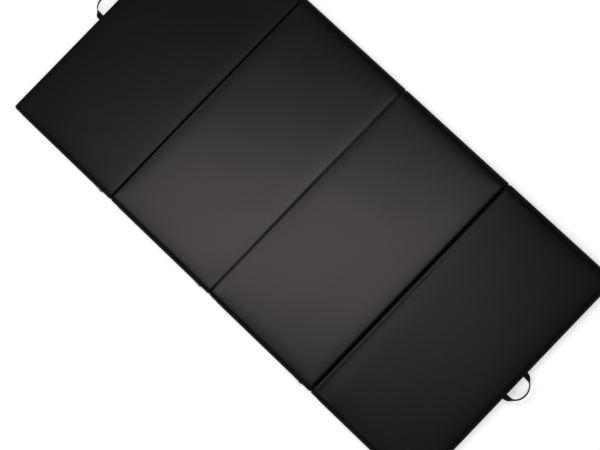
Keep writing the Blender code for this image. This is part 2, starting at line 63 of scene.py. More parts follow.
# The open mat, in metres, as its solids have it
PANEL_COUNT = 4
PANEL_LENGTH = 0.597  # one panel along X, over its walls
PANEL_WIDTH = 1.200  # along Y, over its walls
THICKNESS = 0.050  # at the crown
HINGE_GAP = 0.004  # between the walls of two panels
CROWN = 0.002  # the middle of the top above its edges
EDGE_HEIGHT = THICKNESS - CROWN
MID_HEIGHT = EDGE_HEIGHT / 2
CORNER_RADIUS = 0.008  # in plan
LEAST_CORNER = 0.004  # in plan, on the surfaces farthest in
CORNER_GROWTH = 1.3  # how much wider the corners of flat faces get for each unit that they lie in
SEAM_DROP = 0.0018  # the top seam below the top's edge
COVER = 0.001  # coated fabric
PITCH = PANEL_LENGTH + HINGE_GAP
MAT_END = (PANEL_COUNT * PITCH - HINGE_GAP) / 2
FRONT = -PANEL_WIDTH / 2

# How far from a seam the painted shade reaches: dulled gloss that darkens the rounded edge, with rubbed wear
# over the same reach
SEAM_SHADE_REACH = 0.009
BACK_EDGE, BACK_SEAM_SHADE_REACH = 0.06, 0.020  # width of the mat's back edge, and the reach there
HINGE_SEAM_SHADE_REACHES = (  # X of the middle, half width, and the reach there
    (PITCH - 0.022, 0.020, 0.016),  # before hinge 3
    (PITCH + 0.014, 0.013, 0.004),  # behind hinge 3
    (-PITCH, 0.030, 0.003),  # both sides of hinge 1
)

STRIP_ROUND = 0.3  # of a woven strip's thickness
STRIP_EDGE = math.radians(50)  # the least angle of its edges
FILLING_FRAMES = 20
COVER_CLOTH = {
    "quality": 4,
    "mass": 0.5,
    "tension_stiffness": 60.0,
    "compression_stiffness": 60.0,
    "shear_stiffness": 20.0,
    "bending_stiffness": 4.0,
    "use_pressure": True,
    "uniform_pressure_force": 4.0,
    "vertex_group_mass": "sewn",
}


class Slot(Enum):
    """The material slots of the mat's record."""

    FOAM = "foam"
    TOP_COVER = "top_cover"
    BOTTOM_COVER = "bottom_cover"
    WALL_COVER = "wall_cover"
    HINGE_COVER = "hinge_cover"
    WEBBING = "webbing"
    ZIP_TAPE = "zip_tape"
    ZIP_COIL = "zip_coil"
    ZIP_METAL = "zip_metal"


class CoverPart(Enum):
    """One cover sheet: the starts of its own and its solid's name, its slot, and how often it is divided."""

    TOP = ("top_cover", "top_sheet", Slot.TOP_COVER, 1)
    BOXING = ("boxing_cover", "boxing", Slot.WALL_COVER, 1)
    BOTTOM = ("bottom_cover", "bottom_sheet", Slot.BOTTOM_COVER, 0)


class StripSide(Enum):
    """The face of the mat that a hinge strip is sewn along."""

    TOP = "top"
    BOTTOM = "bottom"


class MatEnd(Enum):
    """One short end of the mat: the number of its panel and the sign of X that leads outwards."""

    LEFT = (1, -1.0)
    RIGHT = (PANEL_COUNT, 1.0)


# Mesh helpers


def deselect_all() -> None:
    """Leaves nothing selected, so that the next operator acts on what it is given."""
    for item in list(bpy.context.selected_objects):
        item.select_set(False)


def choose(item: Object) -> None:
    """Selects one object alone and makes it the active one.

    Args:
        item: the object that the next operator acts on.
    """
    deselect_all()
    item.select_set(True)
    bpy.context.view_layer.objects.active = item


def primitive(name: str, operator: Callable, **settings: object) -> Object:
    """Adds one of Blender's primitives and applies its place, turn and scale.

    Args:
        name: name of the object.
        operator: what adds it.
        settings: the operator's own values.

    Returns:
        The new object.
    """
    deselect_all()
    operator(**settings)
    item = bpy.context.active_object
    item.name = item.data.name = name
    bpy.ops.object.transform_apply(location=True, rotation=True, scale=True)
    return item


def modify(item: Object, kind: str, **settings: object) -> None:
    """Adds a modifier.

    Args:
        item: a mesh object.
        kind: the modifier's type.
        settings: its own values.
    """
    modifier = item.modifiers.new(kind.lower(), kind)
    for name, value in settings.items():
        setattr(modifier, name, value)


def apply_all(item: Object) -> None:
    """Applies the object's modifiers in their order and shades it smooth.

    Args:
        item: a mesh object.
    """
    choose(item)
    for name in [modifier.name for modifier in item.modifiers]:
        bpy.ops.object.modifier_apply(modifier=name)
    deselect_all()
    item.data.shade_smooth()


def mesh_object(name: str, points: np.ndarray, faces: Faces) -> Object:
    """Makes a smooth-shaded mesh object at the origin.

    Args:
        name: name of the piece.
        points: rows of x, y and z.
        faces: corner numbers of each face, counter-clockwise from outside.

    Returns:
        The new object, linked to the scene.
    """
    mesh = bpy.data.meshes.new(name)
    mesh.from_pydata([tuple(point) for point in points], [], faces)
    mesh.validate()
    mesh.shade_smooth()
    item = bpy.data.objects.new(name, mesh)
    bpy.context.scene.collection.objects.link(item)
    return item


def points_of(item: Object) -> np.ndarray:
    """Reads the object's own vertices.

    Args:
        item: a mesh object.

    Returns:
        Rows of x, y and z.
    """
    flat = np.zeros(len(item.data.vertices) * 3)
    item.data.vertices.foreach_get("co", flat)
    return flat.reshape(-1, 3)


def put_points(item: Object, points: np.ndarray) -> None:
    """Moves the object's vertices to rows of x, y and z."""
    item.data.vertices.foreach_set("co", points.ravel())
    item.data.update()


def clean_loose(item: Object) -> None:
    """Removes vertices that no face uses.

    Args:
        item: a mesh object.
    """
    choose(item)
    bpy.ops.object.mode_set(mode="EDIT")
    bpy.ops.mesh.select_all(action="SELECT")
    bpy.ops.mesh.delete_loose()
    bpy.ops.object.mode_set(mode="OBJECT")
    deselect_all()


def copies(name: str, pattern: Object, places: list[Matrix]) -> Object:
    """Joins copies of one small shape into a single piece, and removes the pattern.

    Args:
        name: name of the piece.
        pattern: the shape, modelled once at the origin.
        places: where each copy goes.

    Returns:
        The new piece.
    """
    base = points_of(pattern)
    corners = [tuple(face.vertices) for face in pattern.data.polygons]
    rows, faces = [], []
    for count, at in enumerate(places):
        rows.append(base @ np.array(at.to_3x3()).T + np.array(at.translation))
        faces += shifted(corners, count * len(base))
    bpy.data.objects.remove(pattern, do_unlink=True)
    return mesh_object(name, np.concatenate(rows), faces)


def tapered_rod(sides: int, radius: float, length: float, taper: tuple[float, float], lying: bool
                ) -> Object:
    """Models a short rod with tapered ends at the origin.

    Args:
        sides: how many it has.
        radius: of the rod.
        length: between the two places where it starts to narrow.
        taper: how much its ends narrow and how far they stand out, as shares of the radius.
        lying: along X if so, or else along Z.

    Returns:
        The rod.
    """
    turn = (0.0, math.pi / 2, 0.0) if lying else (0.0, 0.0, 0.0)
    rod = primitive("rod", bpy.ops.mesh.primitive_cylinder_add, vertices=sides, radius=radius,
                    depth=length, rotation=turn)
    bpy.ops.object.mode_set(mode="EDIT")
    bpy.ops.mesh.select_all(action="DESELECT")
    bpy.ops.object.mode_set(mode="OBJECT")
    for face in rod.data.polygons:
        face.select = abs(face.normal.x if lying else face.normal.z) > 0.9
    bpy.ops.object.mode_set(mode="EDIT")
    bpy.ops.mesh.inset(thickness=radius * taper[0], depth=radius * taper[1])
    bpy.ops.object.mode_set(mode="OBJECT")
    deselect_all()
    return rod


def ribbon(name: str, line: np.ndarray, across: np.ndarray, width: float, steps: int
           ) -> tuple[Object, np.ndarray, np.ndarray]:
    """Lays a grid along a line.

    Args:
        name: name of the piece.
        line: points along the grid's middle.
        across: unit direction across it at each point.
        width: of the grid.
        steps: faces across it.

    Returns:
        The grid, and for each vertex how far along the line and how far aside it lies.
    """
    grid = primitive(name, bpy.ops.mesh.primitive_grid_add, x_subdivisions=len(line) - 1,
                     y_subdivisions=steps, size=1.0)
    flat = points_of(grid)
    place, aside = (flat[:, 0] + 0.5) * (len(line) - 1), flat[:, 1] * width
    put_points(grid, along_rows(place, line) + along_rows(place, across) * aside[:, None])
    return grid, along_rows(place, np.array(run_along(line))[:, None])[:, 0], aside


def along_rows(place: np.ndarray, rows: np.ndarray, order: np.ndarray | None = None) -> np.ndarray:
    """Reads values between rows.

    Args:
        place: where each is read.
        rows: the known values.
        order: place of each row, or None where they are 1 apart.

    Returns:
        One row for each place.
    """
    order = np.arange(len(rows)) if order is None else order
    return np.column_stack([np.interp(place, order, rows[:, axis]) for axis in range(rows.shape[1])])


def run_along(line: np.ndarray) -> np.ndarray:
    """Length of a line of points up to each of them."""
    return np.concatenate([[0.0], np.cumsum(np.linalg.norm(np.diff(line, axis=0), axis=1))])


def shifted(faces: Faces, by: int) -> Faces:
    """Faces whose corner numbers are higher by a number."""
    return [tuple(corner + by for corner in face) for face in faces]


def band_faces(rows: int, size: int) -> Faces:
    """Faces between closed rings that run counter-clockwise and rise outwards.

    Args:
        rows: how many rings there are.
        size: points in a ring.

    Returns:
        Corner numbers of each face.
    """
    after = [(i + 1) % size for i in range(size)]
    return [
        (low + i, low + after[i], low + size + after[i], low + size + i)
        for low in range(0, (rows - 1) * size, size)
        for i in range(size)
    ]


def ring_normals(rings: np.ndarray) -> np.ndarray:
    """Finds which way is outwards at the points of stacked rings.

    Args:
        rings: rings by points by x, y and z.

    Returns:
        Unit vectors in the same order.
    """
    around = np.roll(rings, -1, axis=1) - np.roll(rings, 1, axis=1)
    normals = np.cross(around, np.gradient(rings, axis=0))
    return normals / np.maximum(np.linalg.norm(normals, axis=2, keepdims=True), 1e-12)


def run_up(rings: np.ndarray) -> np.ndarray:
    """Length up stacked rings to each of their points."""
    steps = np.linalg.norm(np.diff(rings, axis=0), axis=2)
    return np.concatenate([np.zeros((1, rings.shape[1])), np.cumsum(steps, axis=0)])


def seam_wear_and_shade_mask(rows: np.ndarray, seam: int) -> np.ndarray:
    """How near each point of stacked rings is to one of them: the mask of rubbed wear and of the painted
    shade beside a seam.

    Args:
        rows: rings by points by x, y and z.
        seam: number of the ring in question.

    Returns:
        1 on it, falling to 0 beyond the painted shade's reach.
    """
    x = rows[:, :, 0]
    reach = np.where(rows[:, :, 1] > PANEL_WIDTH / 2 - BACK_EDGE, BACK_SEAM_SHADE_REACH, SEAM_SHADE_REACH)
    for middle, half, there in HINGE_SEAM_SHADE_REACHES:
        reach[np.abs(x - middle) < half] = there
    run = run_up(rows)
    return np.exp(-(((run - run[seam]) / reach) ** 2))


def smooth_step(value: np.ndarray) -> np.ndarray:
    """Eases from 0 to 1 as the value goes from 0 to 1."""
    held = np.clip(value, 0.0, 1.0)
    return held * held * (3.0 - 2.0 * held)


def dress(item: Object, material: Material, slot: Slot, body: str) -> None:
    """Gives a piece its one material and the body that it rides on.

    Args:
        item: the piece.
        material: what it is made of.
        slot: not used.
        body: the body's name, or nothing for a piece that rides on no body.
    """
    item.data.materials.clear()
    item.data.materials.append(material)
    if body:
        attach(item, body)


# Node helpers


class Nodes:
    """Adds nodes to one tree and joins their sockets."""

    def __init__(self, tree: bpy.types.NodeTree) -> None:
        """Keeps the tree to work on."""
        self.tree = tree

    def feed(self, node: bpy.types.Node, inputs: dict) -> None:
        """Sets inputs of a node.

        Args:
            node: the node.
            inputs: by name or number, the value of each or the socket that leads to it.
        """
        for key, value in inputs.items():
            if isinstance(value, Socket):
                self.tree.links.new(value, node.inputs[key])
            else:
                node.inputs[key].default_value = value

    def add(self, kind: str, inputs: dict | None = None, **settings: object) -> bpy.types.Node:
        """Adds one node.

        Args:
            kind: the node's type name, without the word that all shader nodes begin with.
            inputs: values or sockets for its inputs, by name or number.
            settings: the node's own properties.

        Returns:
            The new node.
        """
        node = self.tree.nodes.new("ShaderNode" + kind)
        for name, value in settings.items():
            setattr(node, name, value)
        self.feed(node, inputs or {})
        return node

    def place(self) -> Socket:
        """Where a point lies on its own piece, in metres."""
        return self.add("TexCoord").outputs["Object"]

    def math(self, operation: str, *values: object, clamp: bool = False) -> Socket:
        """Calculates with one to three numbers or sockets, and keeps the result from 0 to 1 if asked."""
        return self.add("Math", dict(enumerate(values)), operation=operation, use_clamp=clamp).outputs[0]

    def ranged(self, value: Socket, low: float, high: float, start: float = 0.0, end: float = 1.0
               ) -> Socket:
        """Maps a value from low..high to start..end."""
        return self.add("MapRange", {0: value, 1: low, 2: high, 3: start, 4: end}).outputs[0]

    def noise(self, vector: Socket, scale: float, detail: float = 2.0) -> Socket:
        """Reads a noise of so many patches for each metre, with finer layers."""
        return self.add("TexNoise", {"Vector": vector, "Scale": scale, "Detail": detail}).outputs[0]

    def cells(self, vector: Socket, scale: object, feature: str = "F1") -> Socket:
        """Distance from the middle of the nearest of so many cells for each metre."""
        return self.add("TexVoronoi", {"Vector": vector, "Scale": scale}, feature=feature).outputs["Distance"]

    def stretched(self, vector: Socket, scale: Place, turn: float = 0.0) -> Socket:
        """Turns a vector round Z and scales it along each axis."""
        inputs = {"Vector": vector, "Rotation": (0.0, 0.0, turn), "Scale": scale}
        return self.add("Mapping", inputs).outputs[0]

    def mixed(self, share: Socket, first: object, second: object) -> Socket:
        """Mixes two colours or their sockets, by the share of the second."""
        return self.add("Mix", {0: share, 6: first, 7: second}, data_type="RGBA").outputs[2]

    def bump(self, height: Socket, strength: float, depth: float, sunk: bool = False) -> Socket:
        """Turns a height from 0 to 1 into a normal, for a relief that deep in metres."""
        return self.add("Bump", {"Strength": strength, "Distance": depth, "Height": height},
                        invert=sunk).outputs[0]


class Patterns:
    """The node groups that several finishes share."""

    def __init__(self) -> None:
        """Builds each group once."""
        self.grain = self.make_grain()
        self.handling = self.make_handling()
        self.weave = self.make_weave()

    def begin(self, name: str, numbers: dict[str, float], outputs: list[str]
              ) -> tuple[Nodes, bpy.types.Node, bpy.types.Node]:
        """Makes an empty group that takes a vector.

        Args:
            name: name of the group.
            numbers: its other inputs, with their usual values.
            outputs: names of its number outputs.

        Returns:
            The group's node helper, its input node and its output node.
        """
        group = bpy.data.node_groups.new(name, "ShaderNodeTree")
        group.interface.new_socket("Vector", in_out="INPUT", socket_type="NodeSocketVector")
        for number, value in numbers.items():
            socket = group.interface.new_socket(number, in_out="INPUT", socket_type="NodeSocketFloat")
            socket.default_value = value
        for output in outputs:
            group.interface.new_socket(output, in_out="OUTPUT", socket_type="NodeSocketFloat")
        return Nodes(group), group.nodes.new("NodeGroupInput"), group.nodes.new("NodeGroupOutput")

    def make_grain(self) -> bpy.types.NodeTree:
        """Embossed pebbles of a coated fabric, over the faint waves of its backing.

        Returns:
            The group.
        """
        nodes, given, result = self.begin("embossed_grain", {"Cells": 900.0}, ["Height", "Pits"])
        vector = given.outputs["Vector"]
        cells = nodes.cells(vector, given.outputs["Cells"], "SMOOTH_F1")
        pebbles = nodes.ranged(cells, 0.05, 0.7, 1.0, 0.0)
        height = nodes.math("MULTIPLY_ADD", nodes.noise(vector, 130.0), 0.8, pebbles)
        nodes.feed(result, {"Height": height, "Pits": nodes.ranged(cells, 0.35, 0.7)})
        return nodes.tree

    def make_handling(self) -> bpy.types.NodeTree:
        """What use leaves on a cover: cloudy smears, short scuffs and dust specks.

        Returns:
            The group.
        """
        nodes, given, result = self.begin("handling_marks", {}, ["Smears", "Scuffs", "Dust"])
        vector = given.outputs["Vector"]
        strokes = nodes.stretched(vector, (9.0, 120.0, 60.0), 0.7)
        lines = nodes.ranged(nodes.noise(strokes, 1.0, 3.0), 0.66, 0.74)
        patches = nodes.ranged(nodes.noise(vector, 6.0, 1.0), 0.52, 0.66)
        specks = nodes.ranged(nodes.noise(vector, 520.0, 1.0), 0.70, 0.76)
        drifts = nodes.ranged(nodes.noise(vector, 11.0), 0.4, 0.7, 0.2, 1.0)
        nodes.feed(result, {
            "Smears": nodes.ranged(nodes.noise(vector, 3.2, 4.0), 0.35, 0.68),
            "Scuffs": nodes.math("MULTIPLY", lines, patches),
            "Dust": nodes.math("MULTIPLY", specks, drifts),
        })
        return nodes.tree

    def make_weave(self) -> bpy.types.NodeTree:
        """Herringbone of a narrow woven tape. The vector runs along it in x and across it in y, in metres.

        Returns:
            The group.
        """
        nodes, given, result = self.begin(
            "narrow_weave", {"Thread": 0.0012, "Column": 0.0016}, ["Height", "Gaps"])
        split = nodes.add("SeparateXYZ", {0: given.outputs["Vector"]})
        along = nodes.math("DIVIDE", split.outputs[0], given.outputs["Thread"])
        across = nodes.math("DIVIDE", split.outputs[1], given.outputs["Column"])
        chevron = nodes.math("ADD", along, nodes.math("PINGPONG", across, 1.0))
        threads, columns = (
            nodes.math("ABSOLUTE", nodes.math("SINE", nodes.math("MULTIPLY", value, math.pi)))
            for value in (chevron, across)
        )
        columns = nodes.math("POWER", columns, 0.35)
        height = nodes.math("MULTIPLY", nodes.math("POWER", threads, 0.6), columns)
        nodes.feed(result, {"Height": height, "Gaps": nodes.ranged(height, 0.0, 0.55, 1.0, 0.0)})
        return nodes.tree


def blank_material(name: str) -> tuple[Material, Nodes, bpy.types.Node]:
    """Makes a material with one Principled shader.

    Args:
        name: name of the material.

    Returns:
        The material, its node helper and the shader.
    """
    material = bpy.data.materials.new(name)
    material.use_nodes = True
    return material, Nodes(material.node_tree), material.node_tree.nodes["Principled BSDF"]


# Finishes


def colour(red: float, green: float, blue: float) -> Colour:
    """An opaque colour."""
    return red, green, blue, 1.0


@dataclass(frozen=True)
class VinylFinish:
    """Coated fabric with a fine embossed grain."""

    name: str
    dark: Colour
    worn: Colour
    roughness: float
    gloss: float
    cells: float = 900.0  # grain pebbles for each metre
    grain_depth: float = 0.00005
    dust: float = 0.12
    marks: float = 0.10  # how much smears show, and half of how much scuffs do
    rubbed: float = 0.22  # how much the rubbed edges show
    seam_shade_gloss: float = 0.25  # share of the gloss that is left on a seam, dulled there as painted shade
    dust_colour: Colour = colour(0.10, 0.098, 0.092)
    # Painted light: a pinkish tint of the sheen, standing in for the colour of the lamps
    painted_lamp_tint: Colour = colour(1.0, 0.90, 0.93)

    def make(self, patterns: Patterns) -> Material:
        """Builds the material: grain, smears, scuffs, dust, lighter rubbed edges, and painted shade of gloss
        dulled beside the seams.

        Args:
            patterns: the shared node groups.

        Returns:
            The material.
        """
        material, nodes, shader = blank_material(self.name)
        place = nodes.place()
        grain = nodes.add("Group", {"Vector": place, "Cells": self.cells}, node_tree=patterns.grain)
        marks = nodes.add("Group", {"Vector": place}, node_tree=patterns.handling)
        # Mask of rubbed wear and of the painted shade beside the seams
        edge = nodes.add("Attribute", attribute_name="seam_wear_and_shade").outputs["Fac"]
        smears = marks.outputs["Smears"]
        rubbed = nodes.math("MULTIPLY", edge, nodes.ranged(nodes.noise(place, 45.0, 4.0), 0.42, 0.7))
        scuffs = nodes.math("MULTIPLY", marks.outputs["Scuffs"], 2.0 * self.marks)
        wear = nodes.math("ADD", nodes.math("MULTIPLY", rubbed, self.rubbed), scuffs, clamp=True)
        tone = nodes.mixed(nodes.math("MULTIPLY", smears, self.marks), self.dark, self.worn)
        tone = nodes.mixed(wear, tone, self.worn)
        tone = nodes.mixed(nodes.math("MULTIPLY", marks.outputs["Dust"], self.dust), tone, self.dust_colour)
        rough = nodes.ranged(smears, 0.0, 1.0, self.roughness - 0.01, self.roughness + 0.015)
        rough = nodes.math("MULTIPLY_ADD", grain.outputs["Pits"], 0.06, rough)
        rough = nodes.math("MULTIPLY_ADD", wear, 0.10, rough, clamp=True)
        # Painted shade: less gloss beside each seam darkens the cover's rounded edge
        seam = nodes.math("POWER", edge, 2.0)
        nodes.feed(shader, {
            "Base Color": tone,
            "Roughness": rough,
            "Normal": nodes.bump(grain.outputs["Height"], 0.6, self.grain_depth),
            "Specular IOR Level": nodes.ranged(seam, 0.0, 1.0, self.gloss, self.seam_shade_gloss * self.gloss),
            "Specular Tint": self.painted_lamp_tint,
        })
        return material


@dataclass(frozen=True)
class WovenFinish:
    """Narrow woven webbing or tape, read from the piece's own map in metres."""

    name: str
    thread: Colour
    gap: Colour
    pitch: float
    column: float
    depth: float
    fuzz: float = 0.25
    lighter: float = 1.7  # how much lighter some patches are
    gloss: float = 0.1

    def make(self, patterns: Patterns) -> Material:
        """Builds the material: herringbone threads, dark gaps and a soft fuzz.

        Args:
            patterns: the shared node groups.

        Returns:
            The material.
        """
        material, nodes, shader = blank_material(self.name)
        along = nodes.add("UVMap", uv_map="weave").outputs[0]
        weave = nodes.add("Group", {"Vector": along, "Thread": self.pitch, "Column": self.column},
                          node_tree=patterns.weave)
        place = nodes.place()
        patches = nodes.ranged(nodes.noise(place, 60.0, 3.0), 0.3, 0.7, 0.0, 0.35)
        tone = nodes.mixed(patches, self.thread, colour(*(self.lighter * part for part in self.thread[:3])))
        fibres = nodes.math("MULTIPLY_ADD", nodes.noise(place, 2600.0), 0.25, weave.outputs["Height"])
        nodes.feed(shader, {
            "Base Color": nodes.mixed(weave.outputs["Gaps"], tone, self.gap),
            "Roughness": nodes.ranged(weave.outputs["Gaps"], 0.0, 1.0, 0.72, 0.95),
            "Normal": nodes.bump(fibres, 0.8, self.depth),
            "Specular IOR Level": self.gloss,
            "Sheen Weight": self.fuzz,
            "Sheen Roughness": 0.4,
        })
        return material


@dataclass(frozen=True)
class MottledFinish:
    """One stuff whose colour, roughness and relief all follow one fine pattern."""

    name: str
    scale: float  # patches or cells for each metre
    colours: tuple[Colour, Colour]
    shown: tuple[float, float]  # what the pattern is where each colour is full
    rough: tuple[float, float, float, float]  # the pattern from and to, and the roughness there
    cellular: bool = False
    relief: tuple[float, float] | None = None  # strength and depth
    constants: dict[str, object] = field(default_factory=dict)  # for the shader's other sockets

    def make(self) -> Material:
        """Builds the material.

        Returns:
            The material.
        """
        material, nodes, shader = blank_material(self.name)
        place = nodes.place()
        pattern = nodes.cells(place, self.scale) if self.cellular else nodes.noise(place, self.scale, 3.0)
        nodes.feed(shader, {
            "Base Color": nodes.mixed(nodes.ranged(pattern, *self.shown), *self.colours),
            "Roughness": nodes.ranged(pattern, *self.rough),
            **self.constants,
        })
        if self.relief:
            nodes.feed(shader, {"Normal": nodes.bump(pattern, *self.relief, sunk=self.cellular)})
        return material


@dataclass(frozen=True)
class MetalFinish:
    """Dark painted zinc of the zip's slider, pull and stops."""

    name: str = "painted_zinc"
    paint: Colour = colour(0.045, 0.045, 0.048)
    bare: Colour = colour(0.32, 0.32, 0.33)

    def make(self) -> Material:
        """Builds the material: satin enamel with fine scratches that show the metal.

        Returns:
            The material.
        """
        material, nodes, shader = blank_material(self.name)
        place = nodes.place()
        fine = nodes.stretched(place, (300.0, 2500.0, 2500.0))
        scratches = nodes.ranged(nodes.noise(fine, 1.0, 3.0), 0.62, 0.72)
        patches = nodes.ranged(nodes.noise(place, 500.0), 0.4, 0.65, 0.1, 1.0)
        rubbed = nodes.math("MULTIPLY", scratches, patches)
        nodes.feed(shader, {
            "Base Color": nodes.mixed(rubbed, self.paint, self.bare),
            "Metallic": nodes.ranged(rubbed, 0.0, 1.0, 0.55, 1.0),
            "Roughness": nodes.ranged(nodes.noise(place, 900.0), 0.3, 0.7, 0.30, 0.45),
            "Normal": nodes.bump(scratches, 0.3, 0.00005, sunk=True),
        })
        return material


class Finishes:
    """Every material of the mat, built once."""

    def __init__(self) -> None:
        """Makes each finish from its own values."""
        patterns = Patterns()
        self.top = VinylFinish(
            "top_vinyl", colour(0.0068, 0.0063, 0.0064), colour(0.020, 0.019, 0.018), 0.30, 0.29
        ).make(patterns)
        # Painted shade: a darker, less glossy copy of the top vinyl for the two end panels, standing in for
        # the dimmer sheen they show
        self.shaded_outer_top = VinylFinish(
            "outer_top_vinyl", colour(0.0060, 0.0058, 0.0055), colour(0.018, 0.017, 0.016), 0.34, 0.17
        ).make(patterns)
        # Painted shade: the walls get a darker, duller vinyl than the top, so that the mat's sides read dark
        # whatever light falls on them
        self.wall = VinylFinish(
            "shaded_wall_vinyl", colour(0.0042, 0.0039, 0.0037), colour(0.014, 0.014, 0.013), 0.55, 0.06, dust=0.08
        ).make(patterns)
        self.bottom = VinylFinish(
            "bottom_vinyl", colour(0.0075, 0.0074, 0.0073), colour(0.024, 0.023, 0.022), 0.6, 0.1,
            cells=620.0, grain_depth=0.00012, dust=0.5,
        ).make(patterns)
        # Painted light: a lighter, glossier vinyl than the covers', which lifts the shade of the crease at
        # each hinge
        self.strip = VinylFinish(
            "lightened_strip_vinyl", colour(0.013, 0.0122, 0.0124), colour(0.026, 0.025, 0.025), 0.36, 0.50
        ).make(patterns)
        self.webbing = WovenFinish(
            "strap_webbing", colour(0.0045, 0.0045, 0.0048), colour(0.0012, 0.0012, 0.0012),
            pitch=0.0014, column=0.0021, depth=0.00035, fuzz=0.05,
        ).make(patterns)
        self.tape = WovenFinish(
            "zip_tape_weave", colour(0.010, 0.010, 0.011), colour(0.004, 0.004, 0.004),
            pitch=0.0008, column=0.0012, depth=0.0002,
        ).make(patterns)
        self.thread = MottledFinish(
            "sewing_thread", 1800.0, (colour(0.0045, 0.0044, 0.0044), colour(0.0072, 0.00704, 0.00704)),
            shown=(0.3, 0.7), rough=(0.2, 0.8, 0.6, 0.8), relief=(0.7, 0.0001),
            constants={"Specular IOR Level": 0.08},
        ).make()
        self.foam = MottledFinish(
            "closed_cell_foam", 650.0, (colour(0.76, 0.77, 0.79), colour(0.52, 0.53, 0.55)),
            shown=(0.1, 0.8), rough=(0.0, 0.8, 0.75, 0.95), cellular=True, relief=(0.5, 0.0004),
            constants={"Subsurface Weight": 0.15, "Subsurface Radius": (0.002, 0.002, 0.002)},
        ).make()
        self.coil = MottledFinish(
            "coil_plastic", 240.0, (colour(0.012, 0.012, 0.012), colour(0.035, 0.035, 0.036)),
            shown=(0.35, 0.75), rough=(0.3, 0.7, 0.32, 0.5), constants={"Specular IOR Level": 0.4},
        ).make()
        self.metal = MetalFinish().make()


# Panels


def waist(height: float) -> float:
    """Share of a wall's bulge and draw-in at a height: 0 at mid-height, 1 at the faces."""
    return ((height - MID_HEIGHT) / MID_HEIGHT) ** 2


@dataclass(frozen=True)
class Wall:
    """One side of a panel in section."""

    bulge: float  # at mid-height, beyond the faces' edges
    draw_in: float  # of the seams at the middle of the side
    top_rim: float
    bottom_rim: float
    give: float  # the most that the filling moves it

    def inset_at(self, height: float, skin: float = 0.0) -> float:
        """How far the wall lies inside its outermost line.

        Args:
            height: above the floor.
            skin: how deep under the cover's outside the surface lies.

        Returns:
            The inset in metres.
        """
        turned_in = 0.0
        for rim, past in (
            (self.top_rim, height - EDGE_HEIGHT + self.top_rim),
            (self.bottom_rim, self.bottom_rim - height),
        ):
            radius = rim - skin
            reach = min(max(past, 0.0), radius)
            turned_in += radius - math.sqrt(radius**2 - reach**2)
        return skin + turned_in + self.bulge * waist(height)


FRONT_WALL = Wall(bulge=0.0035, draw_in=0.0015, top_rim=0.020, bottom_rim=0.010, give=0.0022)
BACK_WALL = replace(FRONT_WALL, top_rim=0.036)
BOTTOM_HINGE_WALL = Wall(bulge=0.001, draw_in=0.0, top_rim=0.010, bottom_rim=0.004, give=0.0004)
CROSS_WALLS = (  # beside each hinge, the mat's two ends being counted as hinges too
    replace(FRONT_WALL, top_rim=0.012),
    replace(BOTTOM_HINGE_WALL, top_rim=0.0055),
    replace(BOTTOM_HINGE_WALL, top_rim=0.004, bottom_rim=0.010),
    BOTTOM_HINGE_WALL,
    replace(FRONT_WALL, top_rim=0.022),
)


